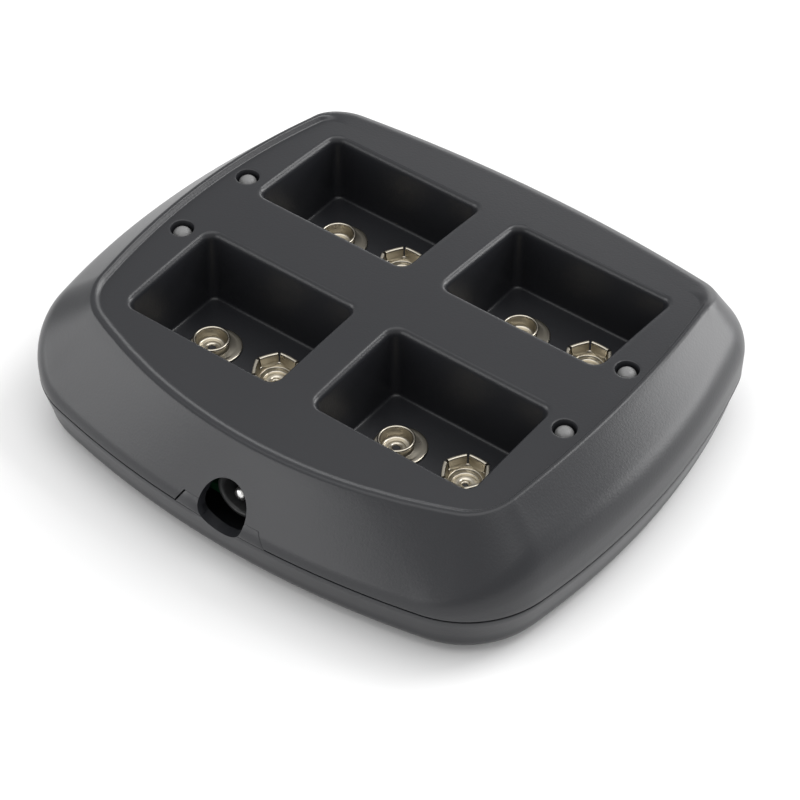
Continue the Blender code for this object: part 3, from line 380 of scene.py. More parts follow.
def insideLoop(point, loop):  # whether a level point is inside a closed loop of level points
    inside = False
    for here, there in zip(loop, loop[1:] + loop[:1]):
        if (here.y > point.y) != (there.y > point.y):
            across = here.x + (point.y - here.y) * (there.x - here.x) / (there.y - here.y)
            if across > point.x:
                inside = not inside
    return inside


def fillRegion(shape, outer, holes, heightAt, spacing):  # even triangles between the outer loop and the holes
    loops = [outer] + holes
    flat = [[v.co.to_2d() for v in loop] for loop in loops]
    points, edges, known = [], [], []
    for loop, places in zip(loops, flat):
        start = len(points)
        points += places
        known += loop
        edges += [(start + i, start + (i + 1) % len(loop)) for i in range(len(loop))]
    border = list(points)
    lowX, highX = min(p.x for p in flat[0]), max(p.x for p in flat[0])
    lowY, highY = min(p.y for p in flat[0]), max(p.y for p in flat[0])
    y = lowY + spacing / 2
    row = 0
    while y < highY:
        x = lowX + spacing * (0.5 if row % 2 else 1.0)
        while x < highX:
            place = Vector((x, y))
            if (insideLoop(place, flat[0]) and not any(insideLoop(place, f) for f in flat[1:])
                    and min((place - b).length_squared for b in border) > (gridShares["border"] * spacing) ** 2):
                points.append(place)
            x += spacing
        y += spacing * gridShares["row"]
        row += 1
    places, _, faces, origins, _, _ = delaunay_2d_cdt(points, edges, [], 0, 0.00001)
    made = []
    for place, origin in zip(places, origins):
        found = [i for i in origin if i < len(known)]
        made.append(known[found[0]] if found else vertAt(shape, place, heightAt(place)))
    for face in faces:
        middle = sum((places[i] for i in face), Vector((0, 0))) / len(face)
        if insideLoop(middle, flat[0]) and not any(insideLoop(middle, f) for f in flat[1:]):
            shape.faces.new([made[i] for i in face])


def arcPoints(centre, radius, start, end, steps):  # (point, outward direction) pairs, angles in degrees
    found = []
    for i in range(steps + 1):
        angle = radians(start + (end - start) * i / steps)
        out = Vector((cos(angle), sin(angle)))
        found.append((Vector(centre) + out * radius, out))
    return found


# Case: one outline and one section give the housing and the cover

caseForm = {
    "halfLength": caseEnd,
    "halfWidth": 41.125,
    "middleY": middleY,
    "panelTop": baseZ + 21.2,
    "seamZ": baseZ + 7.8,
    "crownRadius": 299.0,
    "widestArc": {"end": 123.0, "front": 152.0, "back": 281.0},
    "widestCorner": {"front": 15.8, "back": 12.7},
    "widestShift": 5.7,
    "ridgeArc": {"end": 155.0, "front": 88.0, "back": 235.0},
    "ridgeCorner": {"front": 8.3, "back": 5.4},
    "ridgeShift": 2.2,
    "widestBelow": {"end": 9.75, "front": 13.1, "back": 10.9},
    "seamInset": {"end": 0.1, "front": 0.05, "back": 0.3},
    "flankRadius": {"end": 7.5, "front": 3.5, "back": 7.5},
    "ridgeInset": {"end": 8.2, "front": 6.95, "back": 5.75},
    "ridgeRise": {"end": 0.78, "front": 0.5, "back": 0.02},
    "ridgeRadius": {"end": 0.8, "front": 0.8, "back": 3.0},
    "bevelWidth": {"end": 0.95, "front": 1.5, "back": 2.5},
    "bevelSteps": 10,
    "panelLand": 0.1,
    "baseInset": 1.3,
    "baseRound": 2.9,
    "baseSteps": 10,
    "baseLand": 0.4,
    "innerRound": 1.0,
    "wall": 1.8,
    "seamGap": 0.24,
    "seamRound": 0.12,
    "lipWall": 0.75,
    "lipHeight": 1.1,
    "lipGap": 0.3,
    "sideSteps": 14,
    "cornerSteps": 18,
    "flankSteps": 10,
    "leanSteps": 6,
    "ridgeSteps": 6,
    "lowerSteps": 3,
    "insideSteps": 8,
    "coverSteps": 4,
    "panelSpacing": 2.2,
}


# The centre, radius and last turning angle of each of the three arcs of a quarter contour
def quarterArcs(halfLength, reach, endRadius, sideRadius, cornerRadius):
    end, side = Vector((halfLength - endRadius, 0)), Vector((0, reach - sideRadius))
    fromEnd, fromSide = endRadius - cornerRadius, sideRadius - cornerRadius
    apart = (side - end).length
    along = (fromEnd**2 - fromSide**2 + apart**2) / (2 * apart)
    across = sqrt(fromEnd**2 - along**2)
    towards = (side - end) / apart
    corner = end + towards * along + Vector((towards.y, -towards.x)) * across
    if corner.x < 0:
        corner = end + towards * along - Vector((towards.y, -towards.x)) * across
    endTurn = atan2(corner.y - end.y, corner.x - end.x)
    sideTurn = atan2(corner.y - side.y, corner.x - side.x)
    return ((end, endRadius, endTurn), (corner, cornerRadius, sideTurn), (side, sideRadius, pi / 2))


def contourOf(f, kind, inset):  # both quarters of the widest contour or of the ridge
    contour = {}
    centreY = f["middleY"] - f[kind + "Shift"]
    for side, sign in (("front", -1), ("back", 1)):
        reach = sign * (sign * (f["halfWidth"] - inset[side]) - centreY)
        contour[side] = (sign, centreY, quarterArcs(f["halfLength"] - inset["end"], reach, f[kind + "Arc"]["end"],
                                                    f[kind + "Arc"][side], f[kind + "Corner"][side]))
    return contour


def contourPoint(contour, angle):
    sign, centreY, arcs = contour["back" if angle >= 0 else "front"]
    for centre, radius, last in arcs:
        if abs(angle) <= last:
            break
    place = centre + radius * Vector((cos(abs(angle)), sin(abs(angle))))
    return Vector((place.x, centreY + sign * place.y))


def caseStations(f):  # (point, outward direction, slide to the ridge's point, run to the ridge) all round
    widest = contourOf(f, "widest", {"end": 0, "front": 0, "back": 0})
    ridge = contourOf(f, "ridge", f["ridgeInset"])
    angles = []
    for side, sign in (("front", -1), ("back", 1)):
        endTurn, cornerTurn = widest[side][2][0][2], widest[side][2][1][2]
        half = [endTurn * i / f["sideSteps"] for i in range(f["sideSteps"])]
        half += [endTurn + (cornerTurn - endTurn) * i / f["cornerSteps"] for i in range(f["cornerSteps"])]
        half += [cornerTurn + (pi / 2 - cornerTurn) * i / f["sideSteps"] for i in range(f["sideSteps"] + 1)]
        angles += [-a for a in reversed(half)] if sign < 0 else half[1:]
    right = []
    for angle in angles:
        point = contourPoint(widest, angle)
        toRidge = contourPoint(ridge, angle) - point
        out = Vector((cos(angle), sin(angle)))
        if abs(angle) == pi / 2:
            point.x, toRidge.x, out.x = 0, 0, 0
        run = -toRidge.dot(out)
        right.append((point, out, toRidge + out * run, run))
    left = [(*(Vector((-v.x, v.y)) for v in found[:3]), found[3]) for found in right[-2:0:-1]]
    return right + left


def crownAt(f, y):
    return f["panelTop"] - f["crownRadius"] + sqrt(f["crownRadius"] ** 2 - (y - f["middleY"]) ** 2)


def blended(sizes, out):
    return sizes["end"] * out.x**2 + sizes["back" if out.y > 0 else "front"] * out.y**2


def placeAt(station, inset, share):
    point, out, slide, _ = station
    return point - out * inset + slide * share


def flankOf(f, station):  # sizes of the side wall's section at one station
    _, out, _, run = station
    radius, ridgeRadius = blended(f["flankRadius"], out), blended(f["ridgeRadius"], out)
    widest = f["panelTop"] - blended(f["widestBelow"], out)
    ridgeZ = crownAt(f, placeAt(station, run, 1).y) + blended(f["ridgeRise"], out)
    lean = pi / 4
    for _ in range(8):  # the lean settles in a few rounds
        start = Vector((radius * (1 - cos(lean)), widest + radius * sin(lean)))
        end = Vector((run, ridgeZ)) - ridgeRadius * Vector((cos(lean), 1 - sin(lean)))
        lean = atan2(end.x - start.x, end.y - start.y)
    return {"radius": radius, "widest": widest, "seam": blended(f["seamInset"], out), "ridgeZ": ridgeZ,
            "ridgeRadius": ridgeRadius, "lean": lean, "run": run, "start": start, "end": end}


def faceAt(f, k, z):  # how far in the outer face is at a height, and its lean
    above = z - k["widest"]
    if above <= 0:
        return k["seam"] * above / (f["seamZ"] - k["widest"]), 0.0
    if above < k["radius"] * sin(k["lean"]):
        return k["radius"] - sqrt(k["radius"] ** 2 - above**2), asin(above / k["radius"])
    past = above - k["radius"] * sin(k["lean"])
    return k["radius"] * (1 - cos(k["lean"])) + past * tan(k["lean"]), k["lean"]


quarterTurns = [radians(a) for a in (0, 30, 60, 90)]


def rounding(inset, z, across, along, angles):  # (inset, height) points over a rounded edge
    return [(inset + across * (1 - cos(a)), z + along * (1 - sin(a))) for a in angles]


def rebateAt(f, k):
    return k["seam"] + f["wall"] - f["lipWall"] - f["lipGap"]


def housingSkin(f, station):  # (inset, share, height) from the seam, over the ridge, to inside the panel's edge
    k = flankOf(f, station)
    low, bend = f["seamZ"] + f["seamGap"] / 2, f["seamRound"]
    section = [(rebateAt(f, k), 0, low)]
    section += [(inset, 0, z) for inset, z in rounding(k["seam"], low, bend, bend, quarterTurns[::-1])]
    lower = low + bend
    for i in range(1, f["lowerSteps"] + 1):
        z = lower + (k["widest"] - lower) * i / f["lowerSteps"]
        inset = faceAt(f, k, z)[0]
        section.append((inset, max(0, inset / k["run"]), z))
    for i in range(1, f["flankSteps"] + 1):
        z = k["widest"] + k["radius"] * sin(k["lean"] * i / f["flankSteps"])
        inset = faceAt(f, k, z)[0]
        section.append((inset, inset / k["run"], z))
    for i in range(1, f["leanSteps"]):
        here = k["start"].lerp(k["end"], i / f["leanSteps"])
        section.append((here.x, here.x / k["run"], here.y))
    for i in range(f["ridgeSteps"] + 1):
        angle = k["lean"] + (pi / 2 - k["lean"]) * i / f["ridgeSteps"]
        inset = k["run"] - k["ridgeRadius"] * cos(angle)
        section.append((inset, inset / k["run"], k["ridgeZ"] - k["ridgeRadius"] * (1 - sin(angle))))
    width = blended(f["bevelWidth"], station[1])
    edge = k["run"] + width
    edgeZ = crownAt(f, placeAt(station, edge, 1).y)
    plain = max(0, station[1].y) ** 2  # the recess has no step along the back
    for i in range(1, f["bevelSteps"] + 1):
        t = i / f["bevelSteps"]
        eased = t * plain + (1 - plain) * t**3 * (6 * t * t - 15 * t + 10)
        section.append((k["run"] + width * t, 1, k["ridgeZ"] + (edgeZ - k["ridgeZ"]) * eased))
    last = edge + f["panelLand"]
    section.append((last, 1, crownAt(f, placeAt(station, last, 1).y)))
    return section


def housingInside(f, station):  # (inset, share, height) of the hollow, from the seam to the panel's underside
    k = flankOf(f, station)
    rebate = rebateAt(f, k)
    low = f["seamZ"] + f["lipHeight"] + f["lipGap"]
    high = k["ridgeZ"]
    for _ in range(6):  # so does the height
        inset, lean = faceAt(f, k, high)
        high = crownAt(f, placeAt(station, inset + f["wall"] / cos(lean), inset / k["run"]).y) - f["wall"]
    section = [(rebate, 0, f["seamZ"] + f["seamGap"] / 2), (rebate, 0, low)]
    for i in range(f["insideSteps"] + 1):
        z = low + (high - low) * i / f["insideSteps"]
        inset, lean = faceAt(f, k, z)
        section.append((inset + f["wall"] / cos(lean), max(0, inset / k["run"]), z))
    return section


def coverSkin(f, station):  # (inset, share, height) from the base, up and over the lip, to the inner floor
    seam = blended(f["seamInset"], station[1])
    rounded, bend = f["baseRound"], f["seamRound"]
    section = [(seam + f["baseInset"] + rounded + f["baseLand"], baseZ)]
    for i in range(f["baseSteps"] + 1):
        angle = pi / 2 * i / f["baseSteps"]
        section.append((seam + f["baseInset"] + rounded * (1 - sin(angle)),
                        baseZ + rounded * (1 - cos(angle))))
    top = f["seamZ"] - f["seamGap"] / 2
    foot = baseZ + rounded
    for i in range(1, f["coverSteps"] + 1):
        t = i / f["coverSteps"]
        section.append((seam + f["baseInset"] * (1 - t), foot + (top - bend - foot) * t))
    section += rounding(seam, top, bend, -bend, quarterTurns[1:])
    lipOut = seam + f["wall"] - f["lipWall"]
    section += [(lipOut, top), (lipOut, f["seamZ"] + f["lipHeight"]), (seam + f["wall"], f["seamZ"] + f["lipHeight"]),
                (seam + f["wall"], f["seamZ"]), (seam + f["wall"] + f["baseInset"], foot),
                (seam + f["wall"] + f["baseInset"] + f["innerRound"], baseZ + f["wall"])]
    return [(inset, 0, z) for inset, z in section]


def ringsOf(shape, stations, sectionAt):
    rings = []
    for station in stations:
        column = []
        for inset, share, z in sectionAt(station):
            place = placeAt(station, inset, share)
            column.append(vertAt(shape, place, z))
        rings.append(column)
    joinRings(shape, rings)
    return rings


# Pockets: rounded rims, drafted walls and a floor

pocketForm = {
    "length": 28.3,
    "width": 19.1,
    "depth": 12.9,
    "corner": 1.6,
    "draft": 0.22,
    "rimWidth": 0.9,
    "rimDrop": 1.35,
    "rimTurn": 74,
    "rimSteps": 8,
    "rimLand": 0.35,
    "wallSteps": 5,
    "floorRound": 0.45,
    "floorLand": 0.3,
    "floorThickness": 1.4,
    "linerWall": 1.4,
    "cornerSteps": 9,
    "sideSteps": 12,
}


def pocketOutline(p):  # (point, outward direction) pairs round a pocket, measured from its centre
    halfX, halfY = p["length"] / 2 - p["corner"], p["width"] / 2 - p["corner"]
    found = []
    for index, (sx, sy) in enumerate(((1, 1), (-1, 1), (-1, -1), (1, -1))):
        corner = arcPoints((sx * halfX, sy * halfY), p["corner"], 90 * index, 90 * index + 90, p["cornerSteps"])
        if found:
            found += evenBetween(found[-1], corner[0], p["sideSteps"])
        found += corner
    return found + evenBetween(found[-1], found[0], p["sideSteps"])


def evenBetween(start, end, steps):
    return [(start[0].lerp(end[0], i / steps), start[1]) for i in range(1, steps)]


def addPocket(shape, f, p, centre):  # gives the rim's outer loop
    floorZ = f["panelTop"] - p["depth"]
    turn = radians(p["rimTurn"])
    rimTurns = [turn * i / p["rimSteps"] for i in range(p["rimSteps"] - 1, -1, -1)]
    rise = p["rimDrop"] * cos(turn) / (p["rimWidth"] * sin(turn))
    rings = []
    for point, out in pocketOutline(p):
        rim = crownAt(f, centre.y + point.y + out.y * p["rimWidth"])
        offset = p["rimWidth"] * (1 - cos(turn))
        drop = p["rimDrop"] * (1 - sin(turn))
        edge = offset + drop / rise
        section = [(edge + p["rimLand"], None), (edge, None), (offset, rim - drop)]
        section += rounding(0, rim, p["rimWidth"], -p["rimDrop"], rimTurns)
        wallTop, wallFoot = rim - p["rimDrop"], floorZ + p["floorRound"]
        for i in range(1, p["wallSteps"] + 1):
            t = i / p["wallSteps"]
            section.append((-p["draft"] * t, wallTop + (wallFoot - wallTop) * t))
        section += rounding(-p["draft"], floorZ, -p["floorRound"], p["floorRound"], quarterTurns[1:])
        section.append((-p["draft"] - p["floorRound"] - p["floorLand"], floorZ))
        column = []
        for inset, z in section:
            place = centre + point + out * inset
            column.append(vertAt(shape, place, crownAt(f, place.y) if z is None else z))
        rings.append(column)
    joinRings(shape, rings)
    shape.faces.new([column[-1] for column in rings])
    return [column[0] for column in rings]


def addLiner(shape, f, p, centre):  # the outside of a pocket under the panel; gives its upper loop
    under = f["panelTop"] - p["depth"] - p["floorThickness"]
    rings = []
    for point, out in pocketOutline(p):
        place = centre + point + out * p["linerWall"]
        rings.append([vertAt(shape, place, crownAt(f, place.y) - f["wall"]), vertAt(shape, place, under)])
    joinRings(shape, rings)
    shape.faces.new([column[-1] for column in rings])
    return [column[0] for column in rings]


# Status lamps' places and their holes through the panel

lampForm = {
    "radius": 1.45,
    "hole": 1.8,
    "holeRound": 0.22,
    "holeLand": 0.25,
    "steps": 40,
    "length": 5.0,
    "sink": 0.1,
    "leadSide": 0.5,
    "leadPitch": 2.54,
    "leadFoot": -16.7,
    "leadTop": 0.1,
    "leadPoint": 0.12,
    "domeHeight": 1.16,
    "bodySteps": 48,
}
lampCentres = centresOf("status_lamp")


def addLampHole(shape, f, s, centre):  # gives its loops in the panel's face and underside
    bend = s["holeRound"]
    rings = []
    for point, out in arcPoints(centre, s["hole"], 0, 360, s["steps"])[:-1]:
        section = [(bend + s["holeLand"], None), (bend, None), (0.3 * bend, -0.3 * bend), (0, -bend), (0, -f["wall"])]
        column = []
        for offset, drop in section:
            place = point + out * offset
            column.append(vertAt(shape, place, crownAt(f, place.y) + (drop or 0)))
        rings.append(column)
    joinRings(shape, rings)
    return [column[0] for column in rings], [column[-1] for column in rings]


# Power inlet's place in the front wall

inletForm = {
    "x": 0.7,
    "belowPanel": 10.9,
    "holeRadius": 4.25,
    "tongueFoot": 8.3,
    "tongueTop": 6.8,
    "tongueGaps": (0.3, 0.05, 0.03),
    "footGap": 0.12,
    "barReach": (5, 7),  # out of and into the case, from its front
    "blockReach": (5, 6),
    "blockDrop": 3,
    "steps": 64,
}


def inletBar(s, f):  # a round bar through the front wall
    shape = bmesh.new()
    z = f["panelTop"] - s["belowPanel"]
    near, far = -f["halfWidth"] - s["barReach"][0], s["barReach"][1] - f["halfWidth"]
    rings = []
    for point, _ in arcPoints((s["x"], z), s["holeRadius"], 0, 360, s["steps"])[:-1]:
        rings.append([shape.verts.new((point.x, y, point.y)) for y in (near, far)])
    joinRings(shape, rings)
    capEnds(shape, rings)
    return finishMesh(shape, "barTool")


def tongueBlock(s, f, gaps, foot):  # the tongue's outline with a gap left, right and above, from a height up
    shape = bmesh.new()
    left, right, above = gaps
    high = f["panelTop"] - s["belowPanel"]
    near, far = -f["halfWidth"] - s["blockReach"][0], s["blockReach"][1] - f["halfWidth"]
    slope = (s["tongueFoot"] - s["tongueTop"]) / (high - f["seamZ"])
    spread = s["tongueTop"] + slope * (high - foot)
    rings = []
    for x, z in ((-spread - left, foot), (spread + right, foot), (s["tongueTop"] + right, high + above),
                 (-s["tongueTop"] - left, high + above)):
        rings.append([shape.verts.new((s["x"] + x, y, z)) for y in (near, far)])
    joinRings(shape, rings)
    capEnds(shape, rings)
    return finishMesh(shape, "tongueTool")


# Housing

stations = caseStations(caseForm)


def makeHousing(f, p, lamp, inlet):
    shape = bmesh.new()
    skin = ringsOf(shape, stations, lambda s: housingSkin(f, s))
    inside = ringsOf(shape, stations, lambda s: housingInside(f, s))
    rims = [addPocket(shape, f, p, c) for c in pocketCentres]
    liners = [addLiner(shape, f, p, c) for c in pocketCentres]
    upper, lower = zip(*(addLampHole(shape, f, lamp, c) for c in lampCentres))
    fillRegion(shape, [column[-1] for column in skin], rims + list(upper),
               lambda place: crownAt(f, place.y), f["panelSpacing"])
    fillRegion(shape, [column[-1] for column in inside], liners + list(lower),
               lambda place: crownAt(f, place.y) - f["wall"], 2 * f["panelSpacing"])
    block = tongueBlock(inlet, f, inlet["tongueGaps"], f["seamZ"] - inlet["blockDrop"])
    mesh = cutMesh(finishMesh(shape, "caseHousing"), [block, inletBar(inlet, f)])
    smoothed(mesh, caseAngle)
    return addPiece("caseHousing", mesh, "case_plastic", ["top_housing"] + four("battery_well"))


housing = makeHousing(caseForm, pocketForm, lampForm, inletForm)
print("housing made:", len(housing.data.polygons), "faces")


# Cover

coverForm = {
    "footHole": 4.5,
    "footDepth": 0.6,
    "screwHole": 2.5,
    "screwDepth": 3.0,
    "shankHole": 1.5,
    "pastBase": 2,
    "pastSeam": 2,
    "footSteps": 48,
    "screwSteps": 32,
}
tongueForm = {
    "halfLength": 16,
    "belowSeam": 1,
    "belowPanel": 8,
    "steps": 24,
    "edge": 0.12,
    "edgeSteps": 2,
    "edgeAngle": 40,
}
screwCentres = centresOf("case_screw")
footCentres = centresOf("rubber_foot")


def lathe(shape, centre, profile, steps, closed=False, upright=True):  # (radius, place on the axis) points
    rings = []
    for _, out in arcPoints((0, 0), 1, 0, 360, steps)[:-1]:
        places = [(centre[0] + out.x * r, centre[1] + out.y * r, along) for r, along in profile]
        rings.append([shape.verts.new(p if upright else (p[0], p[2], p[1])) for p in places])
    joinRings(shape, rings)
    if closed:
        joinRings(shape, [[column[-1], column[0]] for column in rings])


def makeCover(f, s, inlet):
    shape = bmesh.new()
    capEnds(shape, ringsOf(shape, stations, lambda station: coverSkin(f, station)))
    mesh = finishMesh(shape, "caseCover")
    holes = bmesh.new()
    below, footTop = baseZ - s["pastBase"], baseZ + s["footDepth"]
    seat, shankTop = baseZ + s["screwDepth"], f["seamZ"] + s["pastSeam"]
    for centre in footCentres:
        lathe(holes, centre, [(0, below), (s["footHole"], below), (s["footHole"], footTop), (0, footTop)],
              s["footSteps"])
    for centre in screwCentres:
        lathe(holes, centre, [(0, below), (s["screwHole"], below), (s["screwHole"], seat), (s["shankHole"], seat),
                              (s["shankHole"], shankTop), (0, shankTop)], s["screwSteps"])
    mesh = cutMesh(mesh, [finishMesh(holes, "coverHoles"), inletBar(inlet, f)])
    smoothed(mesh, caseAngle)
    return addPiece("caseCover", mesh, "case_plastic", ["bottom_cover"])


def makeTongue(f, s, inlet):  # the cover's small upright flap below the inlet, flush with the housing's face
    shape = bmesh.new()
    near = [station for station in stations if station[0].y < 0 and abs(station[0].x) < s["halfLength"]]
    near.sort(key=lambda station: station[0].x)
    foot, rise = f["seamZ"] - s["belowSeam"], f["panelTop"] - s["belowPanel"] - f["seamZ"]
    heights = [foot + rise * i / s["steps"] for i in range(s["steps"] + 1)]
    rings = []
    for station in near:
        k = flankOf(f, station)
        column = []
        for z, depth in [(z, 0) for z in heights] + [(z, f["wall"]) for z in reversed(heights)]:
            inset = faceAt(f, k, z)[0]
            place = placeAt(station, inset, max(0, inset / k["run"])) - station[1] * depth
            column.append(vertAt(shape, place, z))
        rings.append(column + column[:1])
    joinRings(shape, rings, closed=False)
    for end in (0, -1):
        column = rings[end][:-1]
        for i in range(s["steps"]):
            shape.faces.new((column[i], column[i + 1], column[-i - 2], column[-i - 1]))
    slab = finishMesh(shape, "inletTongue")
    block = tongueBlock(inlet, f, (0, 0, 0), f["seamZ"] - f["seamGap"] / 2 + inlet["footGap"])
    flap = placed("tongueShape", cutMesh(cutMesh(slab, [block], "INTERSECT"), [inletBar(inlet, f)]))
    bevel = flap.modifiers.new("edge", "BEVEL")
    bevel.width, bevel.segments = s["edge"] / perMetre, s["edgeSteps"]
    bevel.limit_method, bevel.angle_limit = "ANGLE", radians(s["edgeAngle"])
    mesh = plainMesh(flap, "inletTongue")
    smoothed(mesh, caseAngle)
    return addPiece("inletTongue", mesh, "case_plastic", [])


cover = makeCover(caseForm, coverForm, inletForm)
tongue = makeTongue(caseForm, tongueForm, inletForm)
print("cover made:", len(cover.data.polygons), "faces, tongue:", len(tongue.data.polygons), "faces")


# Geometry Nodes: copies at given places, and copies turned about an axis


def newTree(name, inputs):  # gives its nodes and its inputs' identifiers too
    tree = bpy.data.node_groups.new(name, "GeometryNodeTree")
    tree.is_modifier = True
    tree.interface.new_socket("Geometry", in_out="INPUT", socket_type="NodeSocketGeometry")
    inputs = {"Source": "Object", "Finish": "Material", **inputs}
    sockets = {label: tree.interface.new_socket(label, in_out="INPUT", socket_type=f"NodeSocket{kind}").identifier
               for label, kind in inputs.items()}
    tree.interface.new_socket("Geometry", in_out="OUTPUT", socket_type="NodeSocketGeometry")
    return tree, tree.nodes.new("NodeGroupInput").outputs, tree.nodes.new("NodeGroupOutput").inputs, sockets


def finishTree(tree, given, out, points, turn):  # the source on each point, turned about the upright axis
    source = addNode(tree, "GeometryNodeObjectInfo", {"Object": given["Source"]})
    upright = addNode(tree, "ShaderNodeCombineXYZ", {"Z": turn})
    spin = addNode(tree, "FunctionNodeEulerToRotation", {"Euler": upright.outputs["Vector"]})
    copies = addNode(tree, "GeometryNodeInstanceOnPoints", {
        "Points": points, "Instance": source.outputs["Geometry"], "Rotation": spin.outputs["Rotation"]})
    real = addNode(tree, "GeometryNodeRealizeInstances", {"Geometry": copies.outputs["Instances"]})
    painted = addNode(tree, "GeometryNodeSetMaterial", {
        "Geometry": real.outputs["Geometry"], "Material": given["Finish"]})
    tree.links.new(painted.outputs["Geometry"], out["Geometry"])


def makePlacesTree():  # a copy at each point of the holder's mesh, all lifted by the same height
    tree, given, out, sockets = newTree("copiesAtPlaces", {"Height": "Float", "Turn": "Float"})
    rise = addNode(tree, "ShaderNodeCombineXYZ", {"Z": given["Height"]})
    raised = addNode(tree, "GeometryNodeSetPosition", {
        "Geometry": given["Geometry"], "Offset": rise.outputs["Vector"]})
    finishTree(tree, given, out, raised.outputs["Geometry"], given["Turn"])
    return tree, sockets


def makeTurnsTree():  # copies turned about the upright axis in even steps
    tree, given, out, sockets = newTree("copiesTurned", {"Count": "Int"})
    points = addNode(tree, "GeometryNodePoints", {"Count": given["Count"]})
    step = worked(tree, "DIVIDE", 2 * pi, given["Count"])
    angle = worked(tree, "MULTIPLY", addNode(tree, "GeometryNodeInputIndex").outputs[0], step)
    finishTree(tree, given, out, points.outputs["Geometry"], angle)
    return tree, sockets


placesTree = makePlacesTree()
turnsTree = makeTurnsTree()


def runTree(treeAndSockets, holderPoints, master, values, name):  # on loose points in millimetres
    tree, sockets = treeAndSockets
    source = placed("masterPiece", master)
    mesh = bpy.data.meshes.new("holderPoints")
    mesh.from_pydata([Vector((*p, 0)) / perMetre for p in holderPoints], [], [])
    holder = placed("holder", mesh)
    step = holder.modifiers.new("copies", "NODES")
    step.node_group = tree
    step[sockets["Source"]] = source
    for label, value in values.items():
        step[sockets[label]] = value
    result = plainMesh(holder, name)
    bpy.data.objects.remove(source, do_unlink=True)
    return result


def atPlaces(name, master, places, height, slot, replaced, turn=0.0):
    values = {"Finish": finish[slot], "Height": height / perMetre, "Turn": turn}
    return addPiece(name, runTree(placesTree, places, master, values, name), slot, replaced)


# Snap contacts: a round stud and a six-petalled socket in each pocket, each on a hollow rivet

contactForm = {
    "floorZ": baseZ + 8.3,
    "studRadius": 2.87,
    "studTop": 2.1,
    "bead": 0.23,
    "flange": 4.2,
    "flangeShift": (0.3, 0.45),
    "flangeZ": 0.5,
    "steps": 72,
    "rivetBore": 0.62,
    "rivetHead": 1.45,
    "rivetFoot": -3.6,
    "rivetSteps": 48,
    "socketRivetBore": 0.42,
    "socketRivetHead": 1.3,
    "cornerRadius": 4.0,
    "socketTop": 3.02,
    "petals": 6,
    "petalAngle": 30,
    "slit": 0.35,
    "lipTaper": 0.12,
    "lipHeight": 0.25,
    "petalColumns": 8,
    "petalBow": 0.07,
    "bowAtFoot": 0.3,
}


def beadArc(radius, z, size, start, end, steps=8):  # (radius, height) points round a small rolled edge
    found = []
    for i in range(steps + 1):
        angle = radians(start + (end - start) * i / steps)
        found.append((radius + size * cos(angle), z + size * sin(angle)))
    return found


def domeArc(middle, wide, start, high, angles):  # (radius, height) points over an ellipse's quarter
    return [(middle + wide * sin(radians(a)), start + high * (1 - cos(radians(a)))) for a in angles]


def latheMaster(name, profile, steps, closed=False):
    shape = bmesh.new()
    lathe(shape, (0, 0), profile, steps, closed)
    return finishMesh(shape, name)


def studMesh(s):
    top, out, bead = s["studTop"], s["studRadius"], s["bead"]
    inner = out - 2 * bead
    profile = beadArc(out - bead, top - bead, bead, 90, -50)
    profile += [(out - 0.29, top - 0.62), (out - 0.36, top - 0.95), (out - 0.36, 0.95), (out - 0.33, 0.66),
                (out - 0.2, 0.47), (out + 0.05, 0.4), (3.2, 0.36), (3.32, 0.34), (3.4, 0.35), (3.9, 0.36),
                (4.02, 0.34), (4.12, 0.3), (4.18, 0.24), (s["flange"], 0.16), (4.16, 0.08), (4.08, 0.03),
                (1.5, 0.03), (1.42, 0.06), (1.42, 0.1), (1.5, 0.12), (1.9, 0.13), (2.1, 0.18), (2.22, 0.3),
                (2.27, 0.5), (2.3, 1.0), (inner - 0.02, top - 0.5)]
    profile += beadArc(out - bead, top - bead, bead, 190, 100)
    shape = bmesh.new()
    lathe(shape, (0, 0), profile, s["steps"], closed=True)
    shift = Vector(s["flangeShift"])
    for vert in shape.verts:  # the flange is a little off the stud's middle
        if vert.co.z < s["flangeZ"]:
            vert.co.xy += shift * min(1, max(0, (vert.co.xy.length - out) / 0.5))
    return finishMesh(shape, "studMaster")


def rivetMesh(s, head, bore):
    foot = s["rivetFoot"]
    profile = [(bore, foot + 0.6), (bore, 0.0), (bore + 0.03, 0.1), (bore + 0.12, 0.2), (bore + 0.3, 0.27),
               (bore + 0.5, 0.27), (head - 0.15, 0.25), (head - 0.03, 0.2), (head, 0.14), (head - 0.03, 0.1),
               (1.1, 0.09), (1.08, foot + 0.35), (1.75, foot + 0.3), (1.75, foot), (bore + 0.2, foot),
               (bore, foot + 0.2)]
    return latheMaster("rivetMaster", profile, s["rivetSteps"], closed=True)


def cupMesh(s):  # the round stepped cup inside the petals
    profile = beadArc(2.98, 1.42, 0.15, -20, 150, 6)
    profile += [(2.76, 1.36), (2.66, 1.16), (2.62, 1.0)]
    profile += beadArc(2.5, 0.93, 0.12, 20, 150, 5)
    profile += [(2.3, 0.88), (2.2, 0.66), (2.12, 0.52), (2.0, 0.46), (1.85, 0.5), (1.7, 0.56), (1.3, 0.6),
                (1.0, 0.58), (0.76, 0.5), (0.66, 0.38), (0.62, 0.2), (0.62, 0.03), (2.4, 0.03), (2.62, 0.12),
                (2.78, 0.4), (2.9, 0.9), (3.1, 1.25)]
    return latheMaster("cupMaster", profile, s["steps"], closed=True)


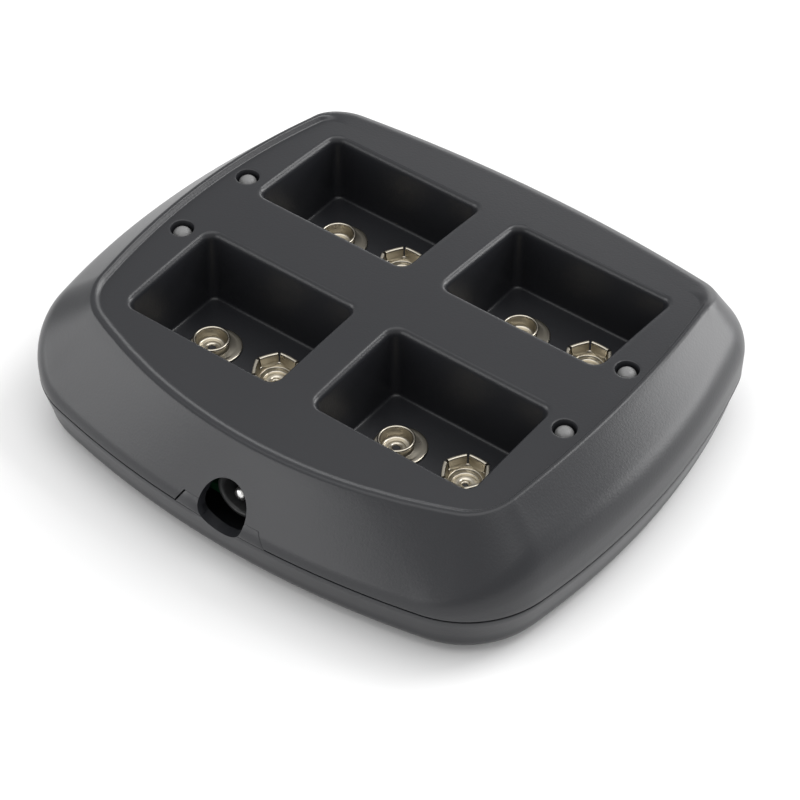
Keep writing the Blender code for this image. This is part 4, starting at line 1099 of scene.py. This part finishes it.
def petalMesh(s):  # a folded lip above a wall that leans in to the cup
    turn = radians(s["petalAngle"])
    top, flat = s["socketTop"], s["cornerRadius"] * cos(turn)
    section = [(flat - inward, top + above) for inward, above in (
        (0.5, -0.02), (0.4, 0.02), (0.25, 0.03), (0.1, 0.01), (0.03, -0.05), (0, -0.14), (0.02, -0.22), (0.12, -0.3),
        (0.22, -0.62), (0.4, -1.1))]
    section += [(flat - inward, z) for inward, z in ((0.5, 1.3), (0.46, 1.0), (0.62, 0.9), (0.8, 1.15), (0.82, 1.35))]
    section += [(flat - inward, top + above) for inward, above in (
        (0.76, -1.1), (0.68, -0.7), (0.63, -0.4), (0.6, -0.2), (0.56, -0.08))]
    shape = bmesh.new()
    rings = []
    for i in range(s["petalColumns"] + 1):
        t = 2 * i / s["petalColumns"] - 1
        ring = []
        for r, z in section:
            taper = s["lipTaper"] * max(0, (z - top + s["lipHeight"]) / s["lipHeight"])
            half = r * tan(turn) - s["slit"] / 2 - taper
            bow = s["petalBow"] * (1 - t * t) * (s["bowAtFoot"] + z / top)
            ring.append(shape.verts.new((r + bow - s["petalBow"], t * half, z)))
        rings.append(ring + [ring[0]])
    joinRings(shape, rings, closed=False)
    for end in (0, -1):
        shape.faces.new(rings[end][:-1])
    mesh = finishMesh(shape, "petalMaster")
    mesh.transform(Matrix.Rotation(turn, 4, "Z"))
    return mesh


def makeContacts(s):
    studs, sockets = centresOf("stud_contact"), centresOf("socket_contact")
    petals = runTree(turnsTree, [], petalMesh(s), {"Finish": finish["nickel"], "Count": s["petals"]}, "petalRing")
    socketRivet = rivetMesh(s, s["socketRivetHead"], s["socketRivetBore"])
    for name, master, places, replaced in (
            ("snapStuds", studMesh(s), studs, four("stud_contact")),
            ("snapCups", cupMesh(s), sockets, []),
            ("snapPetals", petals, sockets, four("socket_contact")),
            ("studRivets", rivetMesh(s, s["rivetHead"], s["rivetBore"]), studs, four("stud_rivet")),
            ("socketRivets", socketRivet, sockets, four("socket_rivet"))):
        atPlaces(name, master, places, s["floorZ"], "nickel", replaced)


makeContacts(contactForm)
print("contacts made")


# Status lamps with domes just under the panel, and their leads


def lampMesh(s):  # a frosted dome on a flanged body; height 0 is the dome's tip
    r, foot = s["radius"], -s["length"]
    profile = [(0, foot), (1.86, foot), (1.9, foot + 0.05), (1.9, foot + 0.95), (1.86, foot + 1.0), (r, foot + 1.0)]
    profile += domeArc(0, r, 0, -s["domeHeight"], range(90, -1, -9))
    return latheMaster("lampBody", profile, s["bodySteps"])


def leadMesh(s):  # two square wires under a lamp
    shape = bmesh.new()
    half = s["leadSide"] / 2
    top, low = s["leadTop"] - s["length"], s["leadFoot"]
    for side in (-1, 1):
        middle = side * s["leadPitch"] / 2
        rings = [[shape.verts.new((x, middle + y, z)) for z in (low, low + s["leadPoint"], top)]
                 for x, y in ((-half, -half), (half, -half), (half, half), (-half, half))]
        joinRings(shape, rings)
        capEnds(shape, rings)
    return finishMesh(shape, "leadMaster")


lampTop = min(crownAt(caseForm, c.y) for c in lampCentres) - lampForm["sink"]
atPlaces("statusLamps", lampMesh(lampForm), lampCentres, lampTop, "lamp_lens", four("status_lamp"))
atPlaces("lampLeads", leadMesh(lampForm), lampCentres, lampTop, "tin", [])
print("lamps made")


# Rubber feet and case screws under the base

footForm = {
    "radius": 4.2,
    "edge": 0.42,
    "height": 1.6,
    "steps": 64,
}
screwForm = {
    "head": 2.2,
    "headHeight": 1.5,
    "headRound": 0.6,
    "face": 1.5,
    "shank": 1.2,
    "thread": 0.28,
    "pitch": 0.9,
    "length": 9.0,
    "slot": 0.62,
    "reach": 1.25,
    "depth": 0.85,
    "narrowing": 0.75,
    "turn": 0.5,
    "sharp": 35,
    "steps": 48,
}


def footMesh(s):  # a rounded tread, a shallow dish and one fine ring; height 0 is the table
    r, edge, high = s["radius"], s["edge"], s["height"]
    profile = [(0, 0.14), (1.2, 0.13), (1.9, 0.08), (2.1, 0.0), (2.9, 0.0), (3.0, 0.1), (3.12, 0.1), (3.22, 0.0)]
    profile += domeArc(r - edge, edge, 0, edge, range(0, 91, 15))
    profile += [(r, high - 0.05), (r - 0.05, high), (0, high)]
    return latheMaster("footMaster", profile, s["steps"])


def crossTool(s):
    shape = bmesh.new()
    half, reach, small = s["slot"] / 2, s["reach"], s["narrowing"]
    outline = []
    for i in range(4):
        turn = pi / 2 * i
        for along, across in ((reach, -half), (reach, half), (half, half)):
            outline.append((along * cos(turn) - across * sin(turn),
                            along * sin(turn) + across * cos(turn)))
    rings = [[shape.verts.new((x, y, -1)), shape.verts.new((x * small, y * small, s["depth"]))] for x, y in outline]
    joinRings(shape, rings)
    capEnds(shape, rings)
    return finishMesh(shape, "crossTool")


def screwMesh(s):  # a pan head, face down at height 0, and a threaded shank
    head, high, edge, root = s["head"], s["headHeight"], s["headRound"], s["shank"] - s["thread"]
    profile = [(0, 0), (s["face"], 0.0)] + domeArc(head - edge, edge, 0, edge, range(15, 91, 15))
    profile += [(head, high - 0.04), (head - 0.04, high), (s["shank"], high)]
    z = high + 0.4
    while z < s["length"] + high - 1.3:
        profile += [(root, z), (root, z + 0.35 * s["pitch"]), (s["shank"], z + 0.55 * s["pitch"]),
                    (root, z + 0.75 * s["pitch"])]
        z += s["pitch"]
    profile += [(0.5, s["length"] + high - 0.3), (0, s["length"] + high)]
    mesh = cutMesh(latheMaster("screwMaster", profile, s["steps"]), [crossTool(s)])
    smoothed(mesh, s["sharp"])
    return mesh


screwLow = inMm(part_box("case_screw_1")[0]).z
atPlaces("rubberFeet", footMesh(footForm), footCentres, 0.0, "foot_rubber", four("rubber_foot"))
atPlaces("caseScrews", screwMesh(screwForm), screwCentres, screwLow, "screw_steel", four("case_screw"),
         screwForm["turn"])
print("feet and screws made")


# Power inlet: moulded body with a round nose, and its pin

jackForm = {
    "nose": 3.9,
    "bore": 3.0,
    "boreDepth": 9.0,
    "noseLength": 2.2,
    "noseOverlap": 0.6,
    "edge": 0.5,
    "lip": 0.25,
    "steps": 72,
}
pinForm = {
    "radius": 1.05,
    "tip": 0.7,
    "steps": 48,
}


def roundedBlock(shape, low, high, edge):  # its four lengthwise edges are rounded
    halfX, halfZ = (high[0] - low[0]) / 2 - edge, (high[2] - low[2]) / 2 - edge
    middle = ((low[0] + high[0]) / 2, (low[2] + high[2]) / 2)
    rings = []
    for index, (sx, sz) in enumerate(((1, 1), (-1, 1), (-1, -1), (1, -1))):
        for point, out in arcPoints((middle[0] + sx * halfX, middle[1] + sz * halfZ), edge, 90 * index,
                                    90 * index + 90, 4):
            near = point - out * edge
            rings.append([shape.verts.new((near.x + out.x * 0.6 * edge, low[1], near.y + out.y * 0.6 * edge)),
                          shape.verts.new((point.x, low[1] + 0.4 * edge, point.y)),
                          shape.verts.new((point.x, high[1], point.y))])
    joinRings(shape, rings)
    capEnds(shape, rings)


def makeJack(s, axis):
    low, high = (inMm(c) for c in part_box("power_socket"))
    face, lip, wide, bore = low.y, s["lip"], s["nose"], s["bore"]
    block, hole, nose = bmesh.new(), bmesh.new(), bmesh.new()
    roundedBlock(block, (low.x, face + s["noseLength"], low.z), (high.x, high.y, axis[1] + wide), s["edge"])
    lathe(hole, axis, [(0, face - 3), (bore, face - 3), (bore, face + s["boreDepth"]), (0, face + s["boreDepth"])],
          s["steps"], upright=False)
    root = face + s["noseLength"] + s["noseOverlap"]
    lathe(nose, axis, [(bore, root), (bore, face + 0.5), (bore + 0.05, face + 0.3), (bore + 0.3, face + 0.05),
                       (bore + 0.4, face), (wide - lip, face), (wide - 0.3 * lip, face + 0.3 * lip),
                       (wide, face + lip), (wide, root)], s["steps"], closed=True, upright=False)
    body = cutMesh(finishMesh(block, "jackBody"), [finishMesh(hole, "boreTool")])
    smoothed(body, smallAngle)
    whole = bmesh.new()
    for mesh in (body, finishMesh(nose, "jackNose")):
        whole.from_mesh(mesh)
    joined = bpy.data.meshes.new("jackBody")
    whole.to_mesh(joined)
    whole.free()
    addPiece("jackBody", joined, "jack_plastic", ["power_socket"])


def makePin(s, axis):
    shape = bmesh.new()
    tip, back = (inMm(c).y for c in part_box("socket_centre_pin"))
    profile = [(0, tip)] + domeArc(0, s["radius"], tip, s["tip"], range(15, 91, 15))
    lathe(shape, axis, profile + [(s["radius"], back), (0, back)], s["steps"], upright=False)
    addPiece("jackPin", finishMesh(shape, "jackPin"), "tin", ["socket_centre_pin"])


inletAxis = (inletForm["x"], caseForm["panelTop"] - inletForm["belowPanel"])
makeJack(jackForm, inletAxis)
makePin(pinForm, inletAxis)
print("power inlet made")
